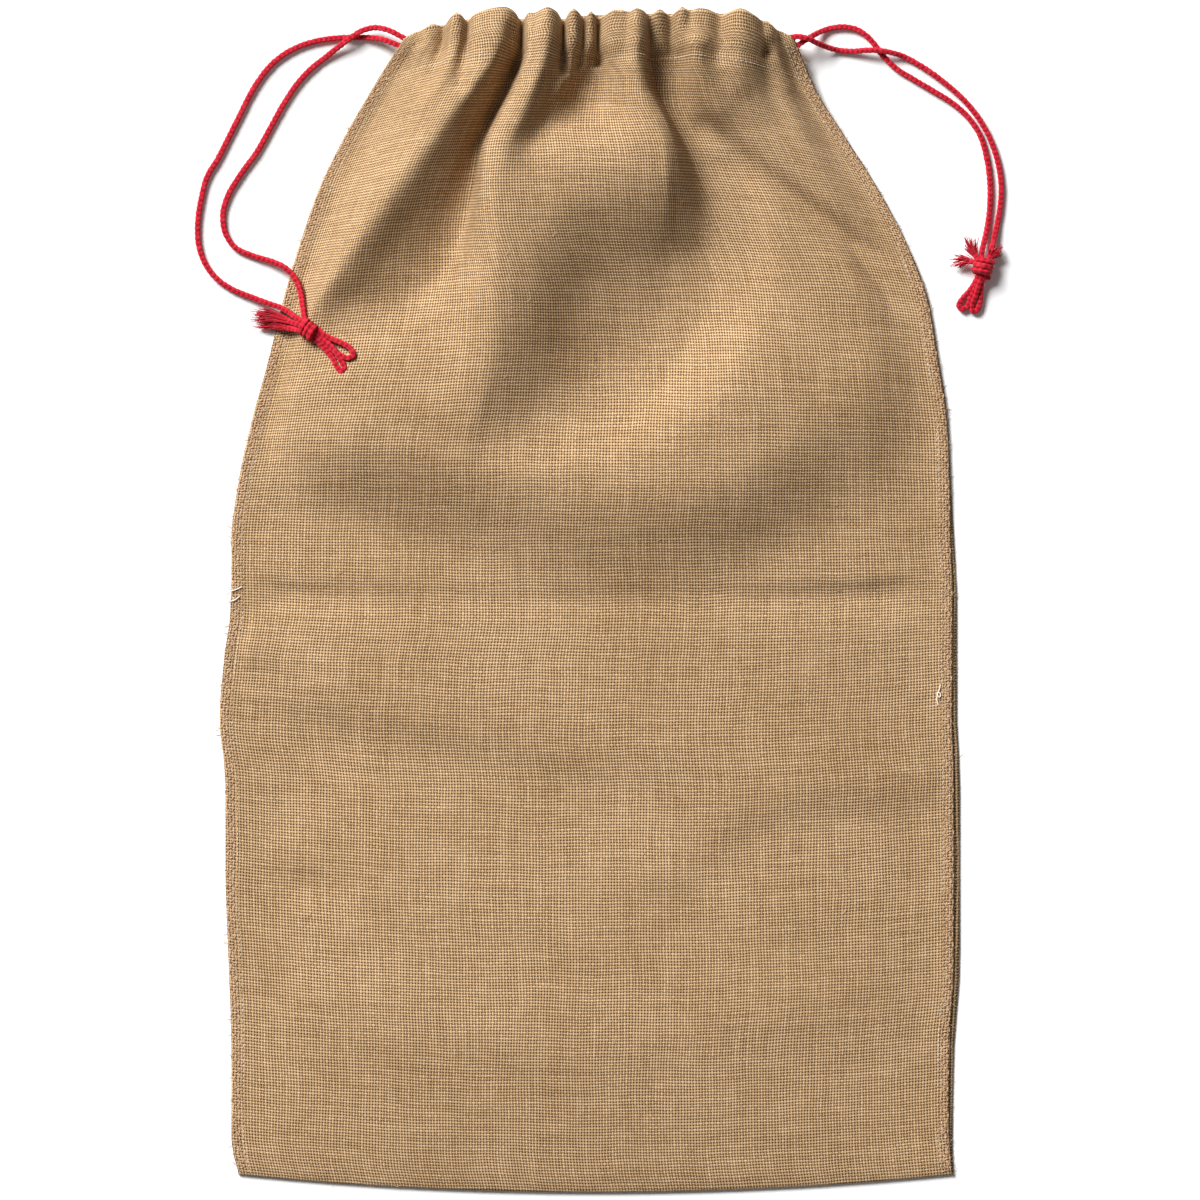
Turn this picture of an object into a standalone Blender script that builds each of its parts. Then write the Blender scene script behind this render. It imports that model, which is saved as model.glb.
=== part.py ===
"""A burlap drawstring sack, 50 x 80 cm, lying flat with its mouth drawn up.

One length of burlap is folded in half at the bottom, sewn up both sides with the allowances outside,
and hemmed at the mouth. Two strands of a braided cord leave the hem at each side and end in a slipped
overhand knot. +X is the right of the front, +Y runs from the bottom fold to the mouth, +Z is up.
The sack lies on z = 0, with the origin under the middle of its box.

Tables are in millimetres from the middle of the bottom fold; MM turns them into metres.
"""
import math

import bpy
import numpy as np

MM = 0.001

# ---- Driving dimensions, millimetres ----
SACK_LENGTH = 801.0       # bottom fold to the top of the hem, along the middle
CLOTH = 1.5               # one layer of burlap
SEAM_ALLOWANCE = 9.0      # stitch line to the raw edge
SEAM_DEPTH = 3.2          # two layers sewn together
HEM_DEPTH = 30.0          # hem stitches to the mouth
HEM_SWELL = 1.4           # how far the drawcord fills the front of the hem out, each way
HEM_LAYERS = 2            # the hem is turned down once
CORD = 4.2                # diameter of the drawcord
CENTRE = (-1.0, 401.8, 0) # the middle of the sack's box
ROUND_AT_FOLD = 2.0       # how square-shouldered a section's bow is at the bottom fold
ROUND_AT_MOUTH = 3.5      # and at the mouth

# ---- The flat outline: a row for each section across the sack ----
# edge: height of the section's two ends, bow: how much higher its middle is,
# left, right: where its ends are, peep: how far the back's raw edge shows past the front's at the right
SECTIONS = np.array((
    # edge, bow, left, right, peep
    (12, -12, -238, 245, 0.4),
    (35, -12, -243, 244, 0.4),
    (96, -12, -243, 245, 0.6),
    (157, -12, -245, 249, 3.6),
    (218, -12, -247, 249, 3.4),
    (279, -11, -247, 249, 3.6),
    (319, -10, -251, 247, 2.2),
    (360, -8, -248, 247, 2.0),
    (400, -5, -243, 247, 2.4),
    (441, -2, -243, 245, 0.6),
    (481, 1, -238, 243, 0.4),
    (522, 4, -229, 241, 0.4),
    (562, 7, -218, 235, 0.4),
    (603, 10, -208, 228, 0.4),
    (640, 13, -197, 214, 0.4),
    (680, 16, -183, 193, 0.4),
    (716, 19, -165, 170, 0.4),
    (745, 21, -148, 152, 0.4),
    (766, 22, -135, 143, 0.4),
    (778, 22, -127, 138, 0.4),
), float)

# ---- The main folds of the front: each runs down from the mouth as a line of its own ----
# A row says, for a place along the sack, where the fold's line lies across it and how high the cloth is
# there. Below its last row a line keeps that row's values, and LANDING brings the cloth down.
FOLDS = {
    "ridge a": (
        # at, across, height
        (801, -62, 46), (765, -80, 46), (738, -100, 45), (705, -122, 44), (671, -140, 41), (650, -154, 36),
        (630, -168, 29), (610, -182, 19), (592, -190, 14), (540, -200, 12),
    ),
    "flank of trough a": (
        (801, -54, 36), (765, -68, 31), (738, -80, 27), (705, -90, 25), (671, -96, 23), (650, -103, 21),
        (630, -118, 19), (610, -144, 15), (592, -172, 18), (540, -182, 19),
    ),
    "trough a": (
        (801, -46, 24), (765, -57, 17), (738, -65, 14), (705, -69, 13), (671, -72, 13), (650, -78, 13),
        (630, -88, 13), (610, -108, 14.5), (592, -140, 21), (560, -146, 26), (520, -148, 27),
    ),
    "ridge b": (
        (801, -32, 47), (765, -36, 50), (738, -49, 51), (705, -58, 51), (671, -60, 50), (630, -56, 47),
        (592, -53, 42), (552, -59, 38), (529, -67, 36), (505, -75, 34),
    ),
    "middle": (
        (801, 6, 24), (765, 6, 16.5), (738, 0, 14.5), (722, -12, 15), (708, -26, 23), (697, -26, 38),
        (682, -16, 46), (665, -8, 42), (645, -4, 33), (625, -2, 24), (605, -2, 18), (592, -6, 16), (552, -26, 18),
        (529, -40, 21), (510, -50, 29), (490, -46, 32),
    ),
    "ridge c": (
        (801, 27, 46), (765, 25, 46), (738, 34, 44), (705, 42, 44), (685, 42, 42), (665, 44, 34),
        (645, 46, 23), (625, 44, 16), (605, 38, 14), (592, 26, 14), (575, 8, 14.5), (552, -12, 15), (529, -26, 17),
        (510, -34, 26), (490, -26, 32),
    ),
    "trough b": (
        (801, 47, 22), (765, 47, 15), (738, 60, 13), (705, 75, 13), (671, 84, 13), (645, 84, 13),
        (620, 79, 13), (605, 68, 13), (590, 50, 13.5), (575, 28, 13.5), (552, 8, 14), (529, -8, 16),
        (510, -16, 25), (490, 0, 33),
    ),
    "right hump": (
        (801, 74, 40), (765, 78, 36), (738, 92, 30), (705, 102, 23), (671, 112, 18), (645, 118, 17),
        (610, 118, 18), (592, 112, 22), (575, 104, 27), (552, 92, 32), (529, 80, 34), (500, 66, 34),
    ),
    "right shoulder": (
        (801, 114, 34), (765, 118, 28), (738, 130, 20), (705, 144, 16), (671, 158, 15), (630, 172, 14.5),
        (592, 180, 14), (552, 180, 16), (510, 178, 17),
    ),
}
# ---- Under the gathers the cloth comes down to the flat part, in an arc like a smile ----
FLAT_PART = (
    # across, height
    (-190, 8), (-119, 14.2), (0, 16.4), (124, 14.2), (195, 8),
)
LANDING = np.array((
    # across, how far up the flat part reaches, where the gathers have their full height
    (-240, 440, 500),
    (-172, 438, 512),
    (-120, 424, 506),
    (-62, 404, 484),
    (6, 394, 472),
    (74, 398, 480),
    (142, 420, 505),
    (175, 434, 518),
    (240, 450, 526),
), float)
FLAT_SHOULDER = 32.0      # how far above the bottom fold the flat part reaches its height
SEAM_LIFT = 10.0          # how far the seams are off the ground at the mouth
SEAM_LIFT_FROM = 700.0    # where they start to rise
SEAM_LIFT_REACH = 40.0    # how far in from the seams the back is lifted with them
BOTTOM_BOW = 12.0         # how much higher the ends of the bottom fold are than its middle
SMALL_FOLD_MARGIN = 24.0  # the small folds die out this far from the seams
SCALLOP = 0.27            # how far a fold's top leans out past the mouth, for each millimetre of its height
SCALLOP_RUN = 60.0        # how far down from the mouth the folds lean

# ---- The small folds of the front: a row for each ridge or trough ----
# rise: height at the path's start and end (below nought in a trough),
# left, right: half widths of its two flanks at the start and the end, path: its crest from the mouth down
SMALL_FOLDS = (
    # name, rise, left, right, path
    ("lobe at the left exit", (5, 0), (9, 14), (9, 14), ((-115, 800), (-112, 770), (-118, 745))),
    ("left roll", (9, 4), (5, 9), (5, 9), ((-92, 800), (-92, 775), (-104, 748), (-112, 735))),
    ("small valley", (-8, -4), (4, 5), (4, 5), ((-42, 800), (-43, 775), (-50, 755))),
    ("second roll", (9, 3), (4, 5), (4, 5), ((-14, 800), (-16, 775), (-24, 750))),
    ("third roll", (9, 3), (3.5, 5), (3.5, 5), ((-3, 800), (-5, 780), (-8, 760))),
    ("lobe over the trough", (8, 1), (4, 4), (4, 4), ((44, 804), (44, 790))),
    ("dimple", (-7, -2), (6, 7), (6, 7), ((88, 800), (87, 778), (86, 765))),
    ("outer lobe", (7, 2), (9, 12), (7, 9), ((108, 800), (108, 775), (106, 750))),
    ("slot", (-10, -6), (4, 6), (4, 6), ((122, 795), (123, 765), (124, 745))),
    ("end lobe", (5, 1), (6, 8), (6, 8), ((131, 795), (132, 770))),
    ("slanting crease", (-3, -6), (7, 7), (7, 7), ((84, 706), (104, 696), (141, 667), (182, 633), (208, 610))),
    ("half-way crease", (-1.6, -1.6), (9, 9), (12, 12), ((-246, 402), (0, 402), (250, 404))),
    ("lower crease", (-1.4, -1.2), (12, 12), (16, 16), ((-246, 300), (-60, 274), (90, 268), (250, 262))),
    ("faint crease", (-0.8, -0.6), (10, 10), (10, 10), ((-246, 212), (-130, 206))),
)

# ---- The pleats of the back at the mouth ----
BACK_PLEATS = (
    # across, rise, half width
    (-104, 6, 7),
    (-72, 10, 8),
    (-28, 10, 6),
    (28, 10, 6),
    (76, 10, 8),
    (108, 7, 7),
)
BACK_PLEAT_RUN = 80.0     # how far down from the mouth they reach

# ---- How finely the cloth is cut into faces ----
ROW_STEPS = (
    # up to this height, a row every
    (34, 10),
    (250, 36),
    (430, 15),
    (600, 14),
    (735, 9),
    (778, 5.5),
)
FRONT_COLUMNS = ((430, 16), (600, 28), (801, 52))   # up to this height, columns across
BACK_COLUMNS = ((690, 6), (801, 32))

# ---- The drawcord: the route of each strand, from the hem to its knot ----
CORD_ROUTES = {
    "cord_left_inner": (
        (-122.5, 778.5, 15), (-128, 781.5, 15.4), (-134, 784.5, 14), (-140, 786.2, 11), (-147, 786.8, 8.2),
        (-155, 784.6, 7.6), (-163, 779.6, 7.5), (-171, 773.6, 5), (-180, 766.5, 2.4), (-190, 758.5, 2.3),
        (-199, 748.5, 2.3), (-207, 736.5, 2.3), (-216, 720.5, 2.3), (-225.5, 703.5, 2.3), (-237, 687.5, 2.3),
        (-246, 672, 2.3), (-248.8, 661, 2.3), (-247, 648, 2.3), (-240.5, 638.5, 2.3), (-229.5, 633.2, 2.4),
        (-216, 629, 4.4), (-208, 625.5, 6.6), (-200.5, 618.5, 7.6), (-196.8, 610.5, 9.4), (-195.2, 602.5, 13),
        (-194, 595, 17), (-192.9, 588.4, 19.9),
    ),
    "cord_left_outer": (
        (-124.5, 773, 15), (-129.5, 775, 15.9), (-135, 777, 14), (-141, 779, 9.4), (-147.5, 780, 4.8),
        (-154, 780.4, 2.5), (-165, 780.4, 2.3), (-176, 779.6, 2.3), (-189, 777.2, 2.3), (-201, 772.7, 2.3),
        (-212, 765.7, 2.3), (-220, 757.6, 2.3), (-228, 746, 2.3), (-237, 728.6, 2.3), (-245, 712.5, 2.3),
        (-253, 697, 2.3), (-259, 687.2, 2.3), (-263.5, 671, 2.3), (-265.8, 654.5, 2.3), (-265.6, 643, 2.3),
        (-261, 628, 2.3), (-252.5, 617, 2.3), (-242, 610, 2.4), (-230, 605.2, 3.4), (-219, 601, 5.6),
        (-209, 597.4, 8.6), (-202.5, 593.4, 13), (-198.4, 590.6, 16.6),
    ),
    "cord_right_a": (
        (134, 783.6, 16.4), (140, 782, 18.8), (146, 779.4, 18), (152, 776.6, 13.4), (159, 774, 7),
        (167, 771.8, 2.8), (177, 771, 3.4), (186, 771.6, 6.4), (195, 771.4, 7.6), (204, 769.8, 5.6),
        (212, 767.2, 2.6), (224, 760.6, 2.3), (239, 749.8, 2.3), (252.5, 737.6, 2.3), (262.5, 725, 2.3),
        (270.5, 710, 2.3), (275.3, 694.5, 2.3), (277.2, 682, 2.3), (276.8, 668, 2.3), (274.8, 655.5, 2.4),
        (272.6, 645.5, 4), (270.8, 638, 6), (268.9, 631.6, 7.6),
    ),
    "cord_right_b": (
        (135, 773.4, 15.2), (140.5, 775.6, 16), (146, 779, 12.2), (151.5, 782.4, 6.8), (158.5, 785.6, 2.8),
        (170.5, 787.6, 2.3), (180.5, 785.4, 2.3), (188.5, 779.4, 2.3), (195, 771, 2.3), (205.5, 760, 2.3),
        (218.5, 751.8, 2.3), (231, 744.4, 2.3), (243.5, 736.6, 2.3), (253.5, 728, 2.3), (262.2, 715.8, 2.3),
        (267.4, 699, 2.3), (269.6, 682, 2.3), (269.6, 668, 2.3), (268.4, 655.5, 2.4), (266.4, 645.5, 4),
        (264.2, 635.6, 6.9),
    ),
}
CORD_STEP = 3.2           # diameters from one point of a cord's tube to the next

# ---- The knots: where each lies, the radius of its wraps, and the routes of what comes out of it ----
KNOTS = {
    "knot_left": {
        "at": (-190, 582, 21.8), "bundle": (0.76, -0.6, 0.25), "ring": 4.3,
        "bights": (
            ((-190, 584, 21.8), (-183, 580.5, 21.6), (-175, 576.5, 22), (-167, 573, 23.6), (-161.5, 569, 25),
             (-160.2, 565.2, 25.6), (-163.5, 563.4, 25.2), (-170, 566, 23.8), (-178, 572, 22.4), (-186, 579, 21.8)),
            ((-190, 580, 21.8), (-184, 574, 20.8), (-178, 568, 21.6), (-173.5, 562, 22.9), (-171, 557, 23.8),
             (-168.4, 554.4, 24.5), (-166.2, 556.6, 24.9), (-168.4, 561.5, 24.4), (-173, 569, 23.4),
             (-182, 577, 22)),
        ),
        "ends": (
            ((-190, 583, 21.8), (-198, 585.6, 17), (-207, 588.4, 10), (-217, 590.6, 3.6), (-227, 592, 2.2)),
            ((-190, 581, 21.8), (-199, 581.4, 15.6), (-208, 582, 8.8), (-217, 582.4, 3.2), (-226, 582, 2)),
        ),
    },
    "knot_right": {
        "at": (264.7, 625, 8), "bundle": (-0.32, -0.947, 0), "ring": 5.2,
        "bights": (
            ((263, 625, 8), (260.6, 617, 6.6), (256, 609.4, 4.2), (250.8, 603.4, 2.9), (248.6, 599.4, 2.7),
             (250.4, 596.8, 2.7), (253.6, 598, 2.7), (256.6, 604, 3.4), (259.6, 611, 5.4), (263, 622, 8)),
            ((266, 625, 8), (264.4, 616, 6.4), (263.2, 608, 4.2), (262.6, 600.4, 2.9), (260.8, 596, 2.7),
             (258, 595.4, 2.7), (257.6, 599, 3.1), (260, 606.4, 5.4), (262.4, 614.6, 7.4), (266, 622, 8)),
        ),
        "ends": (
            ((264, 627, 9), (260.6, 631.6, 9.6), (257.8, 637, 8.4), (256.4, 642.6, 6.6)),
            ((263, 626, 8), (256.6, 628.4, 8), (251, 628, 6.2), (246, 625.6, 4.4)),
        ),
    },
}
BUNDLE = (
    # along the knot from its middle, thickness as a share of the wraps' radius
    (-5.6, 0.6), (-3, 1), (0, 1), (3, 1), (5.6, 0.6),
)
WRAPS = 3                 # turns of cord round each knot's bundle
WRAP_PITCH = 3.61         # from one turn to the next
WRAP_LEAN = 0.28          # how far each turn leans over the last, as a share of its radius
WRAP_POINTS = 14          # points round each turn
BIGHT_POINTS = 18         # points along each bight
KNOT_CORD_SIDES = 7       # sides of the cord in the knots
BUNDLE_SIDES = 10         # sides of the bundle inside the wraps
END_POINTS = 20           # points along each end, were it whole
END_WHOLE = 0.45          # share of an end that isn't frayed yet
END_FLARE = 1.25          # how much thicker it is where it comes apart
END_STRANDS = 7           # frayed strands on each end
END_SPREAD = 5.0          # how far the outer strands' tips lie from the end's own line
ROOT_SPREAD = 0.8         # and how far their roots do
STRAND_BELLY = 0.9        # how far a strand bows out halfway
STRAND = 1.1              # thickness of one
STRAND_RADII = (0.5, 0.55, 0.3)   # its radius at root, middle and tip, as shares of that
STRAND_SIDES = 4          # its sides
TIP_UNEVEN = (-3, 1)      # how much shorter or longer the strands are
TIP_RISE = 1.6            # how much higher or lower their tips lie
LOWEST = 0.3              # nothing on a cord lies lower than this

BURLAP = (0.46, 0.30, 0.165, 1)
RED_COTTON = (0.53, 0.031, 0.052, 1)


def steady_slopes(keys, values):
    """Slopes for a smooth line through the values, level wherever they turn, so that it never overshoots."""
    slope = np.diff(values, axis=0) / np.diff(keys)[:, None]
    before, after = slope[:-1], slope[1:]
    same_way = before * after > 0
    mean = np.where(same_way, 2 * before * after / np.where(same_way, before + after, 1), 0)
    return np.concatenate((slope[:1], mean, slope[-1:]))


def smooth_rows(table, at, slopes_of=steady_slopes):
    """Every other column of a table, read smoothly at the places given along its first column."""
    keys, values = table[:, 0], table[:, 1:]
    slopes = slopes_of(keys, values)
    at = np.clip(np.asarray(at, float), keys[0], keys[-1])
    row = np.clip(np.searchsorted(keys, at, side="right") - 1, 0, len(keys) - 2)
    span = keys[row + 1] - keys[row]
    t = ((at - keys[row]) / span)[..., None]
    span = span[..., None]
    start, end = values[row], values[row + 1]
    leave, arrive = slopes[row] * span, slopes[row + 1] * span
    return ((2 * t**3 - 3 * t**2 + 1) * start + (t**3 - 2 * t**2 + t) * leave
            + (3 * t**2 - 2 * t**3) * end + (t**3 - t**2) * arrive)


def smooth_step(t):
    t = np.clip(t, 0, 1)
    return t * t * (3 - 2 * t)


def easy_slopes(keys, values):
    """Slopes for a rounder line, as a cord lies."""
    return np.gradient(values, keys, axis=0)


def curve_through(points, count):
    """Points spread evenly along a smooth curve through the points given."""
    points = np.asarray(points, float)
    keys = np.concatenate(([0], np.cumsum(np.linalg.norm(np.diff(points, axis=0), axis=1))))
    fine = smooth_rows(np.column_stack((keys, points)), np.linspace(0, keys[-1], 12 * count), easy_slopes)
    run = np.concatenate(([0], np.cumsum(np.linalg.norm(np.diff(fine, axis=0), axis=1))))
    even = np.linspace(0, run[-1], count)
    return np.column_stack([np.interp(even, run, column) for column in fine.T])


def fold_height(x, y, rise, left, right, path):
    """The height that one ridge or trough adds at each point."""
    line = curve_through(path, 5 * len(path))
    start, step = line[:-1], np.diff(line, axis=0)
    dx = x[..., None] - start[:, 0]
    dy = y[..., None] - start[:, 1]
    along = np.clip((dx * step[:, 0] + dy * step[:, 1]) / (step**2).sum(axis=1), 0, 1)
    off_x, off_y = dx - along * step[:, 0], dy - along * step[:, 1]
    distance = np.hypot(off_x, off_y)
    nearest = distance.argmin(axis=-1)[..., None]

    def pick(values):
        return np.take_along_axis(values, nearest, axis=-1)[..., 0]

    t = (pick(along) + nearest[..., 0]) / len(step)
    side = pick(step[:, 0] * dy - step[:, 1] * dx)
    blend = 0.5 + 0.5 * np.tanh(side / (np.hypot(*step[0]) * 3.0))
    left_width = left[0] + (left[1] - left[0]) * t
    right_width = right[0] + (right[1] - right[0]) * t
    width = right_width * blend + left_width * (1 - blend)
    height = rise[0] + (rise[1] - rise[0]) * t
    return height * np.exp(-(pick(distance) / width) ** 2)


def through_heights(x, across, height):
    """Heights read at x from a smooth line through each point's own row of places and heights."""
    run = np.diff(across, axis=-1)
    slope = np.diff(height, axis=-1) / run
    before, after = slope[..., :-1], slope[..., 1:]
    same_way = before * after > 0
    mean = np.where(same_way, 2 * before * after / np.where(same_way, before + after, 1), 0)
    ends = np.zeros_like(mean[..., :1])
    tangent = np.concatenate((ends, mean, ends), axis=-1)
    piece = np.clip((x[..., None] >= across).sum(axis=-1) - 1, 0, across.shape[-1] - 2)[..., None]

    def pick(values):
        return np.take_along_axis(values, piece, axis=-1)[..., 0]

    length = pick(run)
    t = np.clip((x - pick(across)) / length, 0, 1)
    start, end = pick(height), pick(height[..., 1:])
    return ((2 * t**3 - 3 * t**2 + 1) * start + (t**3 - 2 * t**2 + t) * length * pick(tangent)
            + (3 * t**2 - 2 * t**3) * end + (t**3 - t**2) * length * pick(tangent[..., 1:]))


def seam_lift(y):
    return SEAM_LIFT * smooth_step((y - SEAM_LIFT_FROM) / (SACK_LENGTH - SEAM_LIFT_FROM))


def front_height(x, y):
    """Top of the sack's front over the ground."""
    _, left, right, peep = np.moveaxis(smooth_rows(SECTIONS, y), -1, 0)
    left_seam = (left + SEAM_ALLOWANCE)[..., None]
    right_seam = (right - peep - SEAM_ALLOWANCE)[..., None]
    seam_height = SEAM_DEPTH + seam_lift(y)[..., None]
    lines = np.stack([smooth_rows(np.array(fold[::-1], float), y) for fold in FOLDS.values()], axis=-1)
    across = np.concatenate((left_seam, lines[..., 0, :], right_seam), axis=-1)
    height = np.concatenate((seam_height, lines[..., 1, :], seam_height), axis=-1)
    gathers = through_heights(x, across, height)
    ends = [np.full_like(left_seam, value) for value, _ in FLAT_PART]
    tops = [np.full_like(left_seam, value) for _, value in FLAT_PART]
    flat = through_heights(x, np.concatenate((left_seam, *ends, right_seam), axis=-1),
                           np.concatenate((seam_height, *tops, seam_height), axis=-1))
    low, high = np.moveaxis(smooth_rows(LANDING, x), -1, 0)
    flat = flat + (gathers - flat) * smooth_step((y - low) / (high - low))
    above_fold = y - BOTTOM_BOW * (x / SECTIONS[0, 3]) ** 2
    body = SEAM_DEPTH + (flat - SEAM_DEPTH) * smooth_step(above_fold / FLAT_SHOULDER)
    small = sum(fold_height(x, y, *fold[1:]) for fold in SMALL_FOLDS)
    from_seam = np.minimum(x - left_seam[..., 0], right_seam[..., 0] - x)
    return np.maximum(body + small * smooth_step(from_seam / SMALL_FOLD_MARGIN), SEAM_DEPTH + seam_lift(y))


def from_seams(x, y):
    """How far a point lies in from the nearer line of side stitches."""
    _, left, right, peep = np.moveaxis(smooth_rows(SECTIONS, y), -1, 0)
    return np.minimum(x - left, right - peep - x) - SEAM_ALLOWANCE


def back_height(x, y):
    """Underside of the sack's back over the ground."""
    lifted = seam_lift(y) * (1 - smooth_step(from_seams(x, y) / SEAM_LIFT_REACH))
    fade = smooth_step(1 - (SACK_LENGTH - y) / BACK_PLEAT_RUN)
    inner = smooth_step(from_seams(x, y) / SMALL_FOLD_MARGIN)
    pleats = sum(rise * np.exp(-((x - across) / half) ** 2) for across, rise, half in BACK_PLEATS)
    return lifted + pleats * fade * inner


def facing(height, x, y, step=0.5):
    """Unit vectors standing up from a height function's surface."""
    slope_x = (height(x + step, y) - height(x - step, y)) / (2 * step)
    slope_y = (height(x, y + step) - height(x, y - step)) / (2 * step)
    normal = np.stack((-slope_x, -slope_y, np.ones_like(x)), axis=-1)
    return normal / np.linalg.norm(normal, axis=-1, keepdims=True)


def row_heights():
    """Where the rows of faces run, as heights at the sack's sides."""
    rows = [SECTIONS[0, 0]]
    for top, step in ROW_STEPS:
        count = max(1, round((top - rows[-1]) / step))
        rows.extend(np.linspace(rows[-1], top, count + 1)[1:])
    return rows


def columns_at(edge, bands):
    return next(count for top, count in bands if edge < top)


def section_row(edge, height, columns, peep_side):
    """One row across the sack: how far along the cloth, and where, each of its points is.

    The points are spread evenly along the cloth, so a deep fold gets as many as its cloth needs.
    """
    bow, left, right, peep = smooth_rows(SECTIONS, edge)
    right = right - peep * (1 - peep_side)
    power = ROUND_AT_FOLD + (ROUND_AT_MOUTH - ROUND_AT_FOLD) * edge / SACK_LENGTH
    middle, half = (left + right) / 2, (right - left) / 2

    def y_at(x):
        return edge + bow * (1 - np.abs((x - middle) / half) ** power)

    seam_left, seam_right = left + SEAM_ALLOWANCE, right - peep * peep_side - SEAM_ALLOWANCE
    fine = np.linspace(seam_left, seam_right, 600)
    run = np.concatenate(([0], np.cumsum(np.hypot(np.diff(fine), np.diff(height(fine, y_at(fine)))))))
    along = np.linspace(0, 1, columns + 1)
    x = np.concatenate(([left], np.interp(along * run[-1], run, fine), [right]))
    return np.concatenate(([-1], along, [2])), x, y_at(x)


def leaned(x, y, z):
    """How far each point of the front leans towards the mouth with the fold it is on."""
    near = smooth_step(1 - (SACK_LENGTH - y) / SCALLOP_RUN)
    free = smooth_step(from_seams(x, y) / SMALL_FOLD_MARGIN)
    return SCALLOP * (z - np.mean(z)) * near * free


def hem_share(y):
    """Nought below the hem's stitches, one above them, and how full of cord the hem is there."""
    depth = (SACK_LENGTH - y) / HEM_DEPTH
    inside = smooth_step((1.1 - depth) / 0.2)
    full = np.sin(np.pi * np.clip(depth, 0, 1)) ** 0.7
    return inside, full


class Shell:
    """Points and faces of one closed skin."""

    def __init__(self):
        self.points = []
        self.faces = []

    def add_row(self, along, x, y, z):
        first = len(self.points)
        self.points.extend(np.column_stack((x, y, z)))
        return [(u, first + i) for i, u in enumerate(along)]

    def zip_rows(self, low, high, flip=False):
        """Faces between two rows, which may have different numbers of points."""
        i = j = 0
        while i < len(low) - 1 or j < len(high) - 1:
            next_low = low[i + 1][0] if i < len(low) - 1 else math.inf
            next_high = high[j + 1][0] if j < len(high) - 1 else math.inf
            if abs(next_low - next_high) < 1e-9:
                face = (low[i][1], low[i + 1][1], high[j + 1][1], high[j][1])
                i, j = i + 1, j + 1
            elif next_low < next_high:
                face = (low[i][1], low[i + 1][1], high[j][1])
                i += 1
            else:
                face = (low[i][1], high[j + 1][1], high[j][1])
                j += 1
            face = tuple(dict.fromkeys(face))
            if len(face) > 2:
                self.faces.append(face[::-1] if flip else face)


def sack_shell():
    """The sack as one skin: its outside, its inside, and the hem's edge that joins them at the mouth."""
    shell = Shell()
    rows = []
    for number, edge in enumerate(row_heights()):
        u, x, y = section_row(edge, front_height, columns_at(edge, FRONT_COLUMNS), 0)
        z = front_height(x, y)
        up = facing(front_height, x, y)
        in_hem, full = hem_share(y)
        free = smooth_step(from_seams(x, y) / SMALL_FOLD_MARGIN)
        swell = HEM_SWELL * in_hem * full * free
        thick = CLOTH * (1 + (HEM_LAYERS - 1) * in_hem * free) + swell
        y_lean = y + leaned(x, y, z)
        place = np.column_stack((x, y_lean, z))
        outer_front = shell.add_row(u, *(place + up * swell[:, None]).T)
        inner = place - up * thick[:, None]
        inner[1, 2] = inner[-2, 2] = SEAM_DEPTH / 2 + seam_lift(edge)
        inner[1, :2], inner[-2, :2] = place[1, :2], place[-2, :2]

        ub, xb, yb = section_row(edge, back_height, columns_at(edge, BACK_COLUMNS), 1)
        zb = back_height(xb, yb)
        up = facing(back_height, xb, yb)
        in_hem, _ = hem_share(yb)
        free = smooth_step(from_seams(xb, yb) / SMALL_FOLD_MARGIN)
        thick = CLOTH * (1 + (HEM_LAYERS - 1) * in_hem * free)
        place = np.column_stack((xb, yb, zb))
        outer_back = shell.add_row(ub, *place.T)
        under = place + up * thick[:, None]

        if number == 0:
            lift = np.array((0, CLOTH, 0))
            bottom = inner[1:-1] + lift
            bottom[:, 2] = SEAM_DEPTH / 2
            inner_front = inner_back = shell.add_row(u[1:-1], *bottom.T)
        else:
            inner_front = shell.add_row(u[1:-1], *inner[1:-1].T)
            inner_back = shell.add_row(ub[2:-2], *under[2:-2].T)
            inner_back = [(0.0, inner_front[0][1]), *inner_back, (1.0, inner_front[-1][1])]
        rows.append((outer_front, outer_back, inner_front, inner_back))

    for low, high in zip(rows, rows[1:]):
        shell.zip_rows(low[0], high[0])
        shell.zip_rows(low[1], high[1], flip=True)
        shell.zip_rows(low[2], high[2], flip=True)
        shell.zip_rows(low[3], high[3])
        shell.faces.append((low[1][0][1], low[0][0][1], high[0][0][1], high[1][0][1]))
        shell.faces.append((low[0][-1][1], low[1][-1][1], high[1][-1][1], high[0][-1][1]))
    shell.zip_rows(rows[0][1], rows[0][0])
    front, back, inner_front, inner_back = rows[-1]
    shell.zip_rows(front[1:-1], inner_front)
    shell.zip_rows(inner_back, back[1:-1])
    for outer, under, inner in ((front[:2], back[:2], inner_front[0]), (front[-2:], back[-2:], inner_front[-1])):
        face = (outer[0][1], outer[1][1], inner[1], under[1][1], under[0][1])
        if outer[0][0] > 0:
            face = (outer[0][1], outer[1][1], under[1][1], under[0][1], inner[1])
        shell.faces.append(face)
    return shell


def material(name, colour, roughness):
    made = bpy.data.materials.new(name)
    made.use_nodes = True
    shader = made.node_tree.nodes["Principled BSDF"]
    shader.inputs["Base Color"].default_value = colour
    shader.inputs["Roughness"].default_value = roughness
    shader.inputs["Metallic"].default_value = 0
    made.diffuse_color = colour
    return made


def world(points):
    """Millimetres from the bottom fold to metres in the sack's own frame."""
    return (np.asarray(points, float) - CENTRE) * MM


def add_mesh(name, points, faces, look):
    mesh = bpy.data.meshes.new(name)
    mesh.from_pydata(world(points).tolist(), [], faces)
    mesh.materials.append(look)
    made = bpy.data.objects.new(name, mesh)
    bpy.context.collection.objects.link(made)
    return made


def make_sack(look):
    shell = sack_shell()
    sack = add_mesh("sack", shell.points, shell.faces, look)
    sack.data.shade_smooth()
    sack.data.set_sharp_from_angle(angle=math.radians(50))
    return sack


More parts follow.
